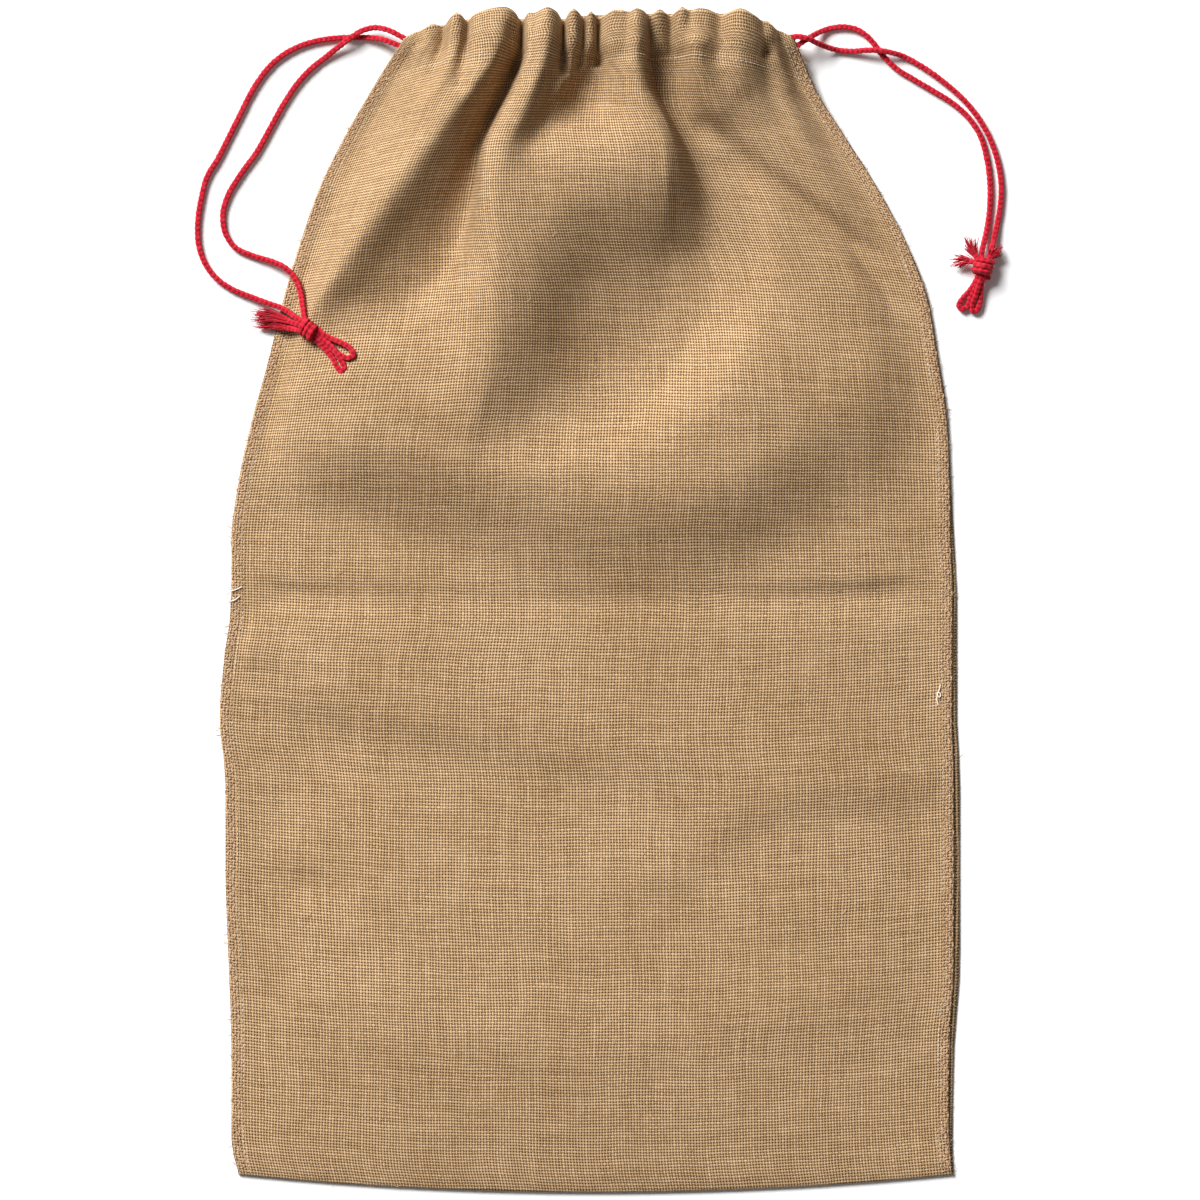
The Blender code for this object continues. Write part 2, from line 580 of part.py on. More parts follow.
def make_cord(name, route, look):
    """One free strand: a round tube through evenly spaced points on a smooth curve."""
    length = np.linalg.norm(np.diff(np.asarray(route, float), axis=0), axis=1).sum()
    points = world(curve_through(route, round(length / (CORD_STEP * CORD)) + 1))
    curve = bpy.data.curves.new(name, "CURVE")
    curve.dimensions = "3D"
    curve.bevel_depth = CORD / 2 * MM
    curve.bevel_resolution = 2
    curve.use_fill_caps = True
    line = curve.splines.new("POLY")
    line.points.add(len(points) - 1)
    for point, place in zip(line.points, points):
        point.co = (*place, 1)
    curve.materials.append(look)
    made = bpy.data.objects.new(name, curve)
    bpy.context.collection.objects.link(made)
    return made


def tube_skin(route, radii, sides, closed=False):
    """Points and faces of a tube round a route, with flat ends, or joined up into a ring."""
    route = np.asarray(route, float)
    count = len(route)
    ahead = np.roll(route, -1, axis=0) - np.roll(route, 1, axis=0) if closed else np.gradient(route, axis=0)
    ahead /= np.linalg.norm(ahead, axis=1, keepdims=True)
    side = np.cross(ahead[0], (0, 0, 1) if abs(ahead[0][2]) < 0.8 else (1, 0, 0))
    angles = 2 * np.pi * (np.arange(sides) + 0.5) / sides
    points = []
    for place, along, radius in zip(route, ahead, radii):
        side = side - along * np.dot(side, along)
        side /= np.linalg.norm(side)
        across = np.cross(along, side)
        points.extend(place + radius * (math.cos(a) * side + math.sin(a) * across) for a in angles)
    faces = []
    for ring in range(count if closed else count - 1):
        here, there = ring * sides, (ring + 1) % count * sides
        for k in range(sides):
            following = (k + 1) % sides
            faces.append((here + k, here + following, there + following, there + k))
    if not closed:
        faces.append(tuple(range(sides))[::-1])
        faces.append(tuple(range((count - 1) * sides, count * sides)))
    return points, faces


def wrap_ring(at, bundle, ring, number):
    """One wrap of cord round the knot's bundle, leaning a little, as each turn lies over the last."""
    along = np.asarray(bundle, float) / np.linalg.norm(bundle)
    side = np.cross((0, 0, 1), along)
    side /= np.linalg.norm(side)
    up = np.cross(along, side)
    shift = (number - (WRAPS - 1) / 2) * WRAP_PITCH
    lean = WRAP_LEAN * (-1) ** number
    angles = 2 * np.pi * np.arange(WRAP_POINTS) / WRAP_POINTS
    return [np.asarray(at) + along * (shift + ring * lean * math.cos(a))
            + ring * (side * math.cos(a) + up * math.sin(a)) for a in angles]


def frayed_strands(route, number, seed):
    """The strands that an end comes apart into, spread like a brush."""
    spread = np.random.default_rng(seed)
    route = np.asarray(route, float)
    start = curve_through(route, END_POINTS)[round(END_WHOLE * (END_POINTS - 1)) - 2]
    tip, before = route[-1], route[-2]
    ahead = (tip - before) / np.linalg.norm(tip - before)
    side = np.cross((0, 0, 1), ahead)
    for k in range(number):
        fan = (k + 0.5) / number * 2 - 1
        end = tip + side * fan * END_SPREAD + ahead * spread.uniform(*TIP_UNEVEN) * (1 + abs(fan))
        end[2] = max(LOWEST + STRAND, end[2] + spread.uniform(-TIP_RISE, TIP_RISE))
        root = start + side * fan * ROOT_SPREAD
        bend = (root + end) / 2 + side * fan * STRAND_BELLY
        yield [root, bend, end]


def make_knot(name, shape, look, seed):
    """A knot as one body: its wraps, the bundle inside them, its two bights and its frayed ends."""
    skins = []
    half_cord = CORD / 2
    core = [np.asarray(shape["at"]) + np.asarray(shape["bundle"]) * along for along, _ in BUNDLE]
    skins.append(tube_skin(core, [shape["ring"] * share for _, share in BUNDLE], BUNDLE_SIDES))
    for number in range(WRAPS):
        turn = wrap_ring(shape["at"], shape["bundle"], shape["ring"], number)
        skins.append(tube_skin(turn, [half_cord] * WRAP_POINTS, KNOT_CORD_SIDES, closed=True))
    for bight in shape["bights"]:
        bent = curve_through(bight, BIGHT_POINTS)
        skins.append(tube_skin(bent, [half_cord] * BIGHT_POINTS, KNOT_CORD_SIDES))
    for number, end in enumerate(shape["ends"]):
        whole = curve_through(end, END_POINTS)[:round(END_WHOLE * END_POINTS)]
        radii = np.linspace(half_cord, half_cord * END_FLARE, len(whole))
        skins.append(tube_skin(whole, radii, KNOT_CORD_SIDES))
        for strand in frayed_strands(end, END_STRANDS, seed + number):
            skins.append(tube_skin(strand, [STRAND * share for share in STRAND_RADII], STRAND_SIDES))
    whole_knot = add_mesh(name, *skins[0], look)
    pieces = [add_mesh(f"{name}_piece", *skin, look) for skin in skins[1:]]
    united = bpy.data.collections.new(name)
    bpy.context.scene.collection.children.link(united)
    for piece in pieces:
        bpy.context.collection.objects.unlink(piece)
        united.objects.link(piece)
    union = whole_knot.modifiers.new("union", "BOOLEAN")
    union.operation = "UNION"
    union.operand_type = "COLLECTION"
    union.collection = united
    union.use_self = True
    seen = whole_knot.evaluated_get(bpy.context.evaluated_depsgraph_get())
    solid = bpy.data.meshes.new_from_object(seen)
    whole_knot.modifiers.clear()
    whole_knot.data = solid
    for piece in pieces:
        bpy.data.objects.remove(piece)
    bpy.data.collections.remove(united)
    return whole_knot


def main():
    for old in list(bpy.data.objects):
        bpy.data.objects.remove(old)
    burlap = material("burlap", BURLAP, 0.92)
    cotton = material("red cotton", RED_COTTON, 0.8)
    make_sack(burlap)
    for name, route in CORD_ROUTES.items():
        make_cord(name, route, cotton)
    for seed, (name, shape) in enumerate(KNOTS.items(), start=1):
        make_knot(name, shape, cotton, 10 * seed)


if __name__ == "__main__":
    main()
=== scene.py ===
# %% [markdown]
# # A burlap drawstring sack
# The sack lies flat on a pale table with its mouth drawn up, and two red cords leave the hem at each
# side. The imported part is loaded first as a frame: it gives the true sizes and places, and every
# piece made below is laid over it. All lengths in the tables are millimetres from the middle of the
# bottom fold, because that is how a maker would measure the sack; `place` turns them into metres.

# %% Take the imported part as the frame
import math

import bpy
import numpy as np
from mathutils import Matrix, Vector


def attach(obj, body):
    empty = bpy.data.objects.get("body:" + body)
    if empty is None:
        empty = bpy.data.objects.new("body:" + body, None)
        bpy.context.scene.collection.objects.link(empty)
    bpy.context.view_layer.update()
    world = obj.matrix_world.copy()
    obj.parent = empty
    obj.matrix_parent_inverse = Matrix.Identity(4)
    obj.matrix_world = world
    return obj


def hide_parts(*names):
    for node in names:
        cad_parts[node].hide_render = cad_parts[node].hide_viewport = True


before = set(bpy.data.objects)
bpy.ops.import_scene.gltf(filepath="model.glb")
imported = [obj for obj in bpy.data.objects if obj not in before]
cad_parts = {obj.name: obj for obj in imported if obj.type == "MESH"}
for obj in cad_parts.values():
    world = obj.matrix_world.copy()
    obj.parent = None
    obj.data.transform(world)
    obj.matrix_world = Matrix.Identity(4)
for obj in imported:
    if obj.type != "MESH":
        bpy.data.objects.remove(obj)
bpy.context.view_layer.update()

# %% Where millimetres from the bottom fold are in the frame
MM = 0.001
MIDDLE = np.array((-1.0, 401.8, 0.0))


def place(points):
    return (np.asarray(points, float) - MIDDLE) * MM


print("top of the hem is at", place((0, 801, 0)).round(4), "m")

# %% [markdown]
# ## Camera
# The picture was taken from straight above. A long lens far away keeps the tall folds at the mouth
# from leaning outwards, which a near camera would make them do. The lens follows from the distance
# and from how much of the table the square picture shows.

# %% Look straight down
PICTURE_SIDE = 811.2       # how much of the table the picture shows, each way
PICTURE_MIDDLE = (6.1, 400.2, 0)
CAMERA_HEIGHT = 12.0       # metres above the table
SENSOR = 36.0


def put(name, data):
    """A new object in the scene."""
    made = bpy.data.objects.new(name, data)
    bpy.context.collection.objects.link(made)
    return made


eye = bpy.data.cameras.new("camera")
eye.sensor_width = SENSOR
eye.lens = SENSOR * CAMERA_HEIGHT / (PICTURE_SIDE * MM)
camera = put("camera", eye)
camera.location = Vector(place(PICTURE_MIDDLE)) + Vector((0, 0, CAMERA_HEIGHT))
bpy.context.scene.camera = camera
print("lens", round(eye.lens, 1), "mm")

# %% [markdown]
# ## Light and table
# The light is that of a large window to the upper left, low enough that each fold of the gathers has a
# bright and a dark side. It stands far off, so that the bottom fold is only a little darker than the
# mouth. Its size sets how soft the shadows are, and a pale world fills them. The table is plain white.

# %% Set the lamp, the world and the table
LAMP_TURN, LAMP_RISE = math.radians(128), math.radians(41)   # anticlockwise from the right; over the table
LAMP_AWAY, LAMP_SIZE, LAMP_POWER = 16.0, 7.2, 4760           # metres, metres, watts
SKY = 0.16
TABLE_HALF, TABLE_TOP = 3.0, -0.0002                         # metres

lamp = bpy.data.lights.new("window", "AREA")
lamp.size = LAMP_SIZE
lamp.energy = LAMP_POWER
lamp_stand = put("window", lamp)
level = math.cos(LAMP_RISE)
towards = Vector((level * math.cos(LAMP_TURN), level * math.sin(LAMP_TURN), math.sin(LAMP_RISE)))
lamp_stand.location = towards * LAMP_AWAY
lamp_stand.rotation_euler = towards.to_track_quat("Z", "Y").to_euler()

sky = bpy.data.worlds.new("sky")
sky.use_nodes = True
glow = sky.node_tree.nodes["Background"].inputs
glow["Color"].default_value = (1, 1, 1, 1)
glow["Strength"].default_value = SKY
bpy.context.scene.world = sky
bpy.context.scene.view_settings.view_transform = "Standard"

table_mesh = bpy.data.meshes.new("table")
table_corners = [(x * TABLE_HALF, y * TABLE_HALF, TABLE_TOP)
                 for x, y in ((-1, -1), (1, -1), (1, 1), (-1, 1))]
table_mesh.from_pydata(table_corners, [], [(0, 1, 2, 3)])
table = put("table", table_mesh)
white = bpy.data.materials.new("white table")
white.use_nodes = True
paint = white.node_tree.nodes["Principled BSDF"].inputs
paint["Base Color"].default_value = (0.93, 0.93, 0.93, 1)
paint["Roughness"].default_value = 0.9
table_mesh.materials.append(white)
print("lamp", [round(v, 2) for v in lamp_stand.location])

# %% [markdown]
# ## Smooth lines from short tables
# Folds, cords and stitches all follow lines that a few listed rows give. Two ways of reading a
# smooth line through rows are enough: a steady one that never overshoots, for heights, and an easy
# one that rounds its corners, for cords and creases.

# %% Read smooth lines through rows of numbers
FINE = 12                  # places tried for each one kept, where a curve is spread evenly


def level_mean(before, after):
    """The slope where two slopes meet: level wherever the line turns."""
    same_way = before * after > 0
    return np.where(same_way, 2 * before * after / np.where(same_way, before + after, 1), 0)


def steady_slopes(keys, values):
    slope = np.diff(values, axis=0) / np.diff(keys)[:, None]
    return np.concatenate((slope[:1], level_mean(slope[:-1], slope[1:]), slope[-1:]))


def easy_slopes(keys, values):
    return np.gradient(values, keys, axis=0)


def smooth_way(t, start, end, leave, arrive):
    """The smooth way from start to end, which leaves and arrives at the slopes given."""
    return ((2 * t**3 - 3 * t**2 + 1) * start + (t**3 - 2 * t**2 + t) * leave
            + (3 * t**2 - 2 * t**3) * end + (t**3 - t**2) * arrive)


def smooth_rows(table, at, slopes_of=steady_slopes):
    """Every other column of a table, read smoothly at the places given along its first column."""
    keys, values = table[:, 0], table[:, 1:]
    slopes = slopes_of(keys, values)
    at = np.clip(np.asarray(at, float), keys[0], keys[-1])
    row = np.clip(np.searchsorted(keys, at, side="right") - 1, 0, len(keys) - 2)
    span = (keys[row + 1] - keys[row])[..., None]
    t = (at - keys[row])[..., None] / span
    return smooth_way(t, values[row], values[row + 1], slopes[row] * span, slopes[row + 1] * span)


def smooth_step(t):
    t = np.clip(t, 0, 1)
    return t * t * (3 - 2 * t)


def steps_of(points):
    return np.linalg.norm(np.diff(points, axis=0), axis=1)


def added_up(steps):
    """How far along each point lies, from the steps between the points."""
    return np.concatenate(([0], np.cumsum(steps)))


def length_of(points):
    return float(steps_of(points).sum())


def curve_through(points, count):
    """Points spread evenly along a smooth curve through the points given."""
    points = np.asarray(points, float)
    keys = added_up(steps_of(points))
    fine = smooth_rows(np.column_stack((keys, points)), np.linspace(0, keys[-1], FINE * count), easy_slopes)
    run = added_up(steps_of(fine))
    even = np.linspace(0, run[-1], count)
    return np.column_stack([np.interp(even, run, column) for column in fine.T])


rows_up_and_down = np.array(((0, 0), (1, 1), (2, 0)), float)
print("smooth line through 0, 1, 0:", smooth_rows(rows_up_and_down, [0.5, 1.5]).ravel())

# %% [markdown]
# ## Node trees, wired from Python
# A node tree is a list of steps with wires between them. The small classes below keep the wiring
# readable: `add` makes a node and plugs its inputs in at once, whether a number or another node's
# output. A tree for a shape gets named inputs for its sizes, and ends in Realize Instances and Set
# Material. A tree for a finish reads the cloth's own UV map or a number kept on the mesh, so that the
# pattern follows every fold.

# %% A helper that wires nodes
class Wiring:
    def __init__(self, tree):
        self.nodes, self.links = tree.nodes, tree.links

    def add(self, kind, inputs=(), out=0, **settings):
        """A new node, set and plugged in, of which one output is handed back."""
        node = self.nodes.new(kind)
        for key, value in settings.items():
            setattr(node, key, value)
        for key, value in dict(inputs).items():
            if isinstance(value, bpy.types.NodeSocket):
                self.links.new(value, node.inputs[key])
            else:
                node.inputs[key].default_value = value
        return node.outputs[out]

    def maths(self, operation, *values, clamp=False):
        return self.add("ShaderNodeMath", dict(enumerate(values)), operation=operation, use_clamp=clamp)

    def times(self, first, second):
        return self.maths("MULTIPLY", first, second)

    def plus(self, first, second, clamp=False):
        return self.maths("ADD", first, second, clamp=clamp)

    def scaled(self, value, by, start):
        """A number times another, and a start added."""
        return self.maths("MULTIPLY_ADD", value, by, start)

    def combine(self, *values):
        return self.add("ShaderNodeCombineXYZ", dict(enumerate(values)))


print("wiring takes numbers and outputs alike")

# %% A helper for the trees that make shapes
class Tree(Wiring):
    """A geometry node tree with named inputs, which `use` turns into a plain mesh."""

    def __init__(self, name, **sizes):
        self.group = bpy.data.node_groups.new(name, "GeometryNodeTree")
        super().__init__(self.group)
        face = self.group.interface
        face.new_socket("Geometry", in_out="INPUT", socket_type="NodeSocketGeometry")
        self.keys = {}
        for title, value in sizes.items():
            kind = {int: "NodeSocketInt", float: "NodeSocketFloat"}.get(type(value), "NodeSocketMaterial")
            socket = face.new_socket(title, in_out="INPUT", socket_type=kind)
            self.keys[title] = (socket.identifier, value)
        face.new_socket("Geometry", in_out="OUTPUT", socket_type="NodeSocketGeometry")
        self.given = self.nodes.new("NodeGroupInput")
        self.geometry = self.given.outputs["Geometry"]

    def __getitem__(self, title):
        """One of the tree's own sizes, such as tree["Thickness"]."""
        return self.given.outputs[title]

    def vector(self, operation, *values):
        return self.add("ShaderNodeVectorMath", dict(enumerate(values)), operation=operation)

    def stretched(self, vector, by):
        return self.add("ShaderNodeVectorMath", {0: vector, "Scale": by}, operation="SCALE")

    def random(self, low, high, seed, number=None):
        inputs = {2: low, 3: high, "Seed": seed}
        if number is not None:
            inputs["ID"] = number
        return self.add("FunctionNodeRandomValue", inputs, 1)

    def store(self, geometry, name, value):
        """Keeps a number on every point, under a name."""
        return self.add("GeometryNodeStoreNamedAttribute", {0: geometry, "Name": name, "Value": value},
                        data_type="FLOAT", domain="POINT")

    def stored(self, name):
        return self.add("GeometryNodeInputNamedAttribute", {"Name": name}, data_type="FLOAT")

    def resampled(self, mode, key, value):
        """The lines that the tree is given, cut into even steps."""
        return self.add("GeometryNodeResampleCurve", {"Curve": self.geometry, key: value}, mode=mode)

    def ring(self, sides, radius):
        return self.add("GeometryNodeCurvePrimitiveCircle", {"Resolution": sides, "Radius": radius})

    def swept(self, line, ring):
        return self.add("GeometryNodeCurveToMesh", {"Curve": line, "Profile Curve": ring, "Fill Caps": True})

    def turned(self, rotation, *angles):
        """A rotation turned further, about its own axes."""
        return self.add("FunctionNodeRotateRotation", {0: rotation, 1: self.combine(*angles)},
                        rotation_space="LOCAL")

    def set_on(self, points, shape, rotation, scale):
        """A copy of a shape on every point."""
        return self.add("GeometryNodeInstanceOnPoints", {0: points, "Instance": shape, "Rotation": rotation,
                                                         "Scale": scale})

    def finish(self, geometry):
        whole = self.add("GeometryNodeRealizeInstances", {0: geometry})
        whole = self.add("GeometryNodeSetShadeSmooth", {0: whole, 2: True})
        dressed = self.add("GeometryNodeSetMaterial", {0: whole, "Material": self["Material"]})
        self.links.new(dressed, self.nodes.new("NodeGroupOutput").inputs[0])
        return self

    def use(self, source, name, **sizes):
        """Runs the tree on an object, which it then removes, and returns the plain mesh that it makes."""
        modifier = source.modifiers.new(self.group.name, "NODES")
        modifier.node_group = self.group
        for title, (identifier, value) in self.keys.items():
            given = sizes.get(title, value)
            if given is not None:
                modifier[identifier] = given
        seen = source.evaluated_get(bpy.context.evaluated_depsgraph_get())
        mesh = bpy.data.meshes.new_from_object(seen)
        mesh.name = name
        bpy.data.objects.remove(source)
        if not mesh.materials:
            mesh.materials.append(sizes.get("Material"))
        return put(name, mesh)

    def follow(self, lines, name, **sizes):
        """Runs the tree on lines, each a list of places in millimetres."""
        curve = bpy.data.curves.new(name, "CURVE")
        curve.dimensions = "3D"
        for line in lines:
            points = place(line)
            spline = curve.splines.new("POLY")
            spline.points.add(len(points) - 1)
            for point, spot in zip(spline.points, points):
                point.co = (*spot, 1)
        return self.use(put(f"{name} lines", curve), name, **sizes)


def one_mesh(name, made):
    """Several plain meshes joined into one object."""
    bpy.context.view_layer.update()
    with bpy.context.temp_override(active_object=made[0], selected_editable_objects=made):
        bpy.ops.object.join()
    made[0].name = name
    made[0].data.name = name
    return made[0]


def triangles(made):
    return sum(len(face.vertices) - 2 for face in made.data.polygons)


print("tree helper ready")

# %% A helper for the trees that make finishes
class Finish(Wiring):
    """A material's node tree with a Principled shader."""

    def __init__(self, name, roughness, **sockets):
        self.material = bpy.data.materials.new(name)
        self.material.use_nodes = True
        super().__init__(self.material.node_tree)
        self.shader = self.nodes["Principled BSDF"].inputs
        self.shader["Roughness"].default_value = roughness
        for title, value in sockets.items():
            self.shader[title.replace("_", " ")].default_value = value

    def noise(self, vector, scale, detail=2.0, roughness=0.5):
        return self.add("ShaderNodeTexNoise", {"Vector": vector, "Scale": scale, "Detail": detail,
                                               "Roughness": roughness})

    def ramp(self, value, low, high, to_low=0.0, to_high=1.0):
        return self.add("ShaderNodeMapRange", {"Value": value, "From Min": low, "From Max": high,
                                               "To Min": to_low, "To Max": to_high})

    def blend(self, share, first, second):
        return self.add("ShaderNodeMix", {"Factor": share, 6: first, 7: second}, 2, data_type="RGBA")

    def colour(self, socket):
        self.links.new(socket, self.shader["Base Color"])

    def bump(self, height, distance, strength):
        bumped = self.add("ShaderNodeBump", {"Height": height, "Distance": distance, "Strength": strength})
        self.links.new(bumped, self.shader["Normal"])


print("material helper ready")

# %% [markdown]
# ## The drawcords
# The cord is a soft braid of red cotton, 4.2 mm thick. Two strands leave the hem at each side, cross
# once or twice, droop towards the bottom and end in a knot. A tube with a bitmap would look like
# wire. Here a tree sweeps a round profile along the route, then lifts each point by a wave that runs
# round the cord and another that runs along it: where both rise, one plait of the braid stands out.
# The wave's height stays on the mesh as a number, and the material paints shade with it: the cord is darker
# between plaits.

# %% Dye the cotton, and paint shade between its plaits
# The darkest red is painted shade, used between the plaits.
RED_IN_PAINTED_SHADE, BRIGHT_RED, WORN_RED = (0.17, 0.003, 0.009, 1), (0.62, 0.016, 0.036, 1), (0.74, 0.06, 0.09, 1)
WORN_PATCHES, COTTON_HAIRS = 260.0, 1500.0     # how many to a metre


def cotton_finish():
    made = Finish("red cotton braid", 0.85, Sheen_Weight=0.05, Sheen_Roughness=0.5, Specular_IOR_Level=0.12)
    lift = made.add("ShaderNodeAttribute", out=2, attribute_name="plait")
    spot = made.add("ShaderNodeTexCoord", out=3)
    worn = made.noise(spot, WORN_PATCHES, 3.0)
    hairs = made.noise(spot, COTTON_HAIRS)
    # Painted shade: the lower the plait wave, the nearer the colour comes to the darkest red.
    painted_shade_from_plaits = made.ramp(lift, 0.15, 0.7, 0.0, 0.8)
    shade = made.plus(painted_shade_from_plaits, made.times(hairs, 0.35), clamp=True)
    base = made.blend(shade, RED_IN_PAINTED_SHADE, BRIGHT_RED)
    made.colour(made.blend(made.ramp(worn, 0.5, 0.75, 0.0, 0.45), base, WORN_RED))
    made.bump(hairs, 0.0004, 0.5)
    return made.material


red_cotton = cotton_finish()
print("cotton has", len(red_cotton.node_tree.nodes), "nodes")

# %% The tree that braids a cord along a line
CORD = 4.2                 # thickness
PLAIT_LEVEL = 0.75         # the wave's height at which the cord has its own thickness
SLACK = 0.6                # how much of the relief the slack in the plaits takes or gives


def braid_tree():
    tree = Tree("braid along a line", Thickness=CORD * MM, Step=0.0006, Sides=20, Plaits=4.0,
                Plait_length=0.0034, Relief=0.0006, Material=red_cotton)
    line = tree.resampled("LENGTH", "Length", tree["Step"])
    line = tree.store(line, "along", tree.add("GeometryNodeSplineParameter", out=1))
    ring = tree.ring(tree["Sides"], tree.times(tree["Thickness"], 0.5))
    ring = tree.store(ring, "turn", tree.add("GeometryNodeSplineParameter"))
    skin = tree.swept(line, ring)
    plaits_along = tree.maths("DIVIDE", tree.stored("along"), tree["Plait_length"])
    plaits_round = tree.times(tree.stored("turn"), tree["Plaits"])
    wave_along, wave_round = (tree.maths("COSINE", tree.times(count, 2 * math.pi))
                              for count in (plaits_along, plaits_round))
    plait = tree.scaled(tree.maths("SUBTRACT", wave_along, wave_round), 0.25, 0.5)
    slack = tree.add("ShaderNodeTexNoise", {"Scale": 420.0, "Detail": 2.0})
    rise = tree.plus(tree.maths("SUBTRACT", plait, PLAIT_LEVEL), tree.scaled(slack, 2 * SLACK, -SLACK))
    out = tree.stretched(tree.add("GeometryNodeInputNormal"), tree.times(rise, tree["Relief"]))
    skin = tree.add("GeometryNodeSetPosition", {0: skin, "Offset": out})
    # The wave's height is kept as 'plait' for the cotton's painted shade between plaits.
    return tree.finish(tree.store(skin, "plait", plait))


braid = braid_tree()
print("braid tree takes", list(braid.keys))

# %% Lay the four free strands
CORD_STEP = 1.5            # between the points of a strand's line
CORD_ROUTES = {
    "cord_left_inner": (
        (-111, 775.8, 13), (-117, 776.6, 13.2), (-122.5, 778, 13.4), (-128, 780.6, 13.6),
        (-134, 783.8, 13), (-140, 786, 11), (-147, 786.8, 8.2), (-155, 784.6, 7.6), (-163, 779.6, 7.5),
        (-171, 773.6, 5), (-180, 766.5, 2.4), (-190, 758.5, 2.3), (-199, 748.5, 2.3), (-207, 736.5, 2.3),
        (-216, 720.5, 2.3), (-225.5, 703.5, 2.3), (-237, 687.5, 2.3), (-246, 672, 2.3),
        (-248.8, 661, 2.3), (-247, 648, 2.3), (-240.5, 638.5, 2.3), (-229.5, 633.2, 2.4),
        (-216, 629, 4.4), (-208, 625.5, 6.6), (-200.5, 618.5, 7.6), (-196.8, 610.5, 9.4),
        (-195.2, 602.5, 13), (-194, 595, 17), (-192.9, 588.4, 19.9), (-191.6, 584.4, 21.2),
    ),
    "cord_left_outer": (
        (-113, 770.2, 12.8), (-119, 771, 13), (-124.5, 772.6, 13.2), (-129.5, 774.6, 13),
        (-135, 776.8, 11.6), (-141, 779, 8.6), (-147.5, 780, 4.8), (-154, 780.4, 2.5), (-165, 780.4, 2.3),
        (-176, 779.6, 2.3), (-189, 777.2, 2.3), (-201, 772.7, 2.3), (-212, 765.7, 2.3),
        (-220, 757.6, 2.3), (-228, 746, 2.3), (-237, 728.6, 2.3), (-245, 712.5, 2.3), (-253, 697, 2.3),
        (-259, 687.2, 2.3), (-263.5, 671, 2.3), (-265.8, 654.5, 2.3), (-265.6, 643, 2.3),
        (-261, 628, 2.3), (-252.5, 617, 2.3), (-242, 610, 2.4), (-230, 605.2, 3.4), (-219, 601, 5.6),
        (-209, 597.4, 8.6), (-202.5, 593.4, 13), (-198.4, 590.6, 16.6), (-193.4, 586.8, 20.4),
    ),
    "cord_right_a": (
        (122, 776.6, 13.2), (128, 778, 13.8), (134, 779.8, 15), (140, 780.6, 17), (146, 779.4, 17.4),
        (152, 776.6, 13.4), (159, 774, 7), (167, 771.8, 2.8), (177, 771, 3.4), (186, 771.6, 6.4),
        (195, 771.4, 7.6), (204, 769.8, 5.6), (212, 767.2, 2.6), (224, 760.6, 2.3), (239, 749.8, 2.3),
        (252.5, 737.6, 2.3), (262.5, 725, 2.3), (270.5, 710, 2.3), (275.3, 694.5, 2.3), (277.2, 682, 2.3),
        (276.8, 668, 2.3), (274.8, 655.5, 2.4), (272.6, 645.5, 4), (270.8, 638, 6), (268.9, 631.6, 7.6),
        (267, 627.4, 8),
    ),
    "cord_right_b": (
        (124, 769.6, 12.8), (129.5, 770.6, 13), (135, 772.6, 13.2), (140.5, 775.4, 13.2),
        (146, 779, 11.4), (151.5, 782.4, 6.8), (158.5, 785.6, 2.8), (170.5, 787.6, 2.3),
        (180.5, 785.4, 2.3), (188.5, 779.4, 2.3), (195, 771, 2.3), (205.5, 760, 2.3), (218.5, 751.8, 2.3),
        (231, 744.4, 2.3), (243.5, 736.6, 2.3), (253.5, 728, 2.3), (262.2, 715.8, 2.3), (267.4, 699, 2.3),
        (269.6, 682, 2.3), (269.6, 668, 2.3), (268.4, 655.5, 2.4), (266.4, 645.5, 4), (264.2, 635.6, 6.9),
        (264, 630, 7.8), (264.4, 626.6, 8),
    ),
}
cords, cord_lines = {}, {}
for name, route in CORD_ROUTES.items():
    line = curve_through(route, round(length_of(np.array(route)) / CORD_STEP))
    cords[name] = braid.follow([line], f"red_{name}", Material=red_cotton)
    cord_lines[name] = line
    print(name, "is", round(length_of(line)), "mm long,", triangles(cords[name]), "triangles")

# %% [markdown]
# ## The shape in which the cloth lies
# The sack is one length of burlap, folded in half at the bottom, sewn up both sides and hemmed at the
# mouth. The drawn cord heaps the mouth up into folds that run down the front and die out in an arc
# like a smile. A cloth simulation would heap it up in some other way than in the picture, so each
# main fold is a short table of its own: where its line lies, and how high the cloth is there. Between
# the lines the height is read smoothly, and smaller ridges and troughs are added on top.

# %% The outline, section by section
SACK_LENGTH = 801.0        # bottom fold to the top of the hem
CLOTH = 1.5                # one layer, as it lies
SEAM_ALLOWANCE = 9.0       # stitch line to the raw edge
SEAM_DEPTH = 3.2           # two layers sewn together
HEM_DEPTH = 30.0           # hem stitches to the mouth
HEM_SWELL = 1.4            # how far the drawcord fills the hem out
ROUND_AT_FOLD, ROUND_AT_MOUTH = 2.0, 3.5

SECTIONS = np.array((
    # height of its ends, how far its middle bows up from them, left end, right end, how far the back shows
    (12, -12, -238, 245, 0.4),
    (35, -12, -243, 244, 1.8),
    (96, -12, -243, 245, 2.6),
    (157, -12, -245, 249, 3.6),
    (218, -12, -247, 249, 3.4),
    (279, -11, -247, 249, 3.6),
    (319, -10, -251, 247, 2.8),
    (360, -8, -248, 247, 2.6),
    (400, -5, -243, 247, 2.4),
    (441, -2, -243, 245, 1.8),
    (481, 1, -238, 243, 0.4),
    (522, 4, -229, 241, 0.4),
    (562, 7, -218, 235, 0.4),
    (603, 10, -208, 228, 0.4),
    (640, 13, -197, 214, 0.4),
    (680, 16, -183, 193, 0.4),
    (716, 19, -165, 170, 0.4),
    (745, 21, -148, 152, 0.4),
    (766, 22, -135, 143, 0.4),
    (778, 22, -127, 138, 0.4),
), float)
MOUTH = SECTIONS[-1, 0]    # height of the mouth's two ends
print("widest section:", max(SECTIONS[:, 3] - SECTIONS[:, 2]), "mm")

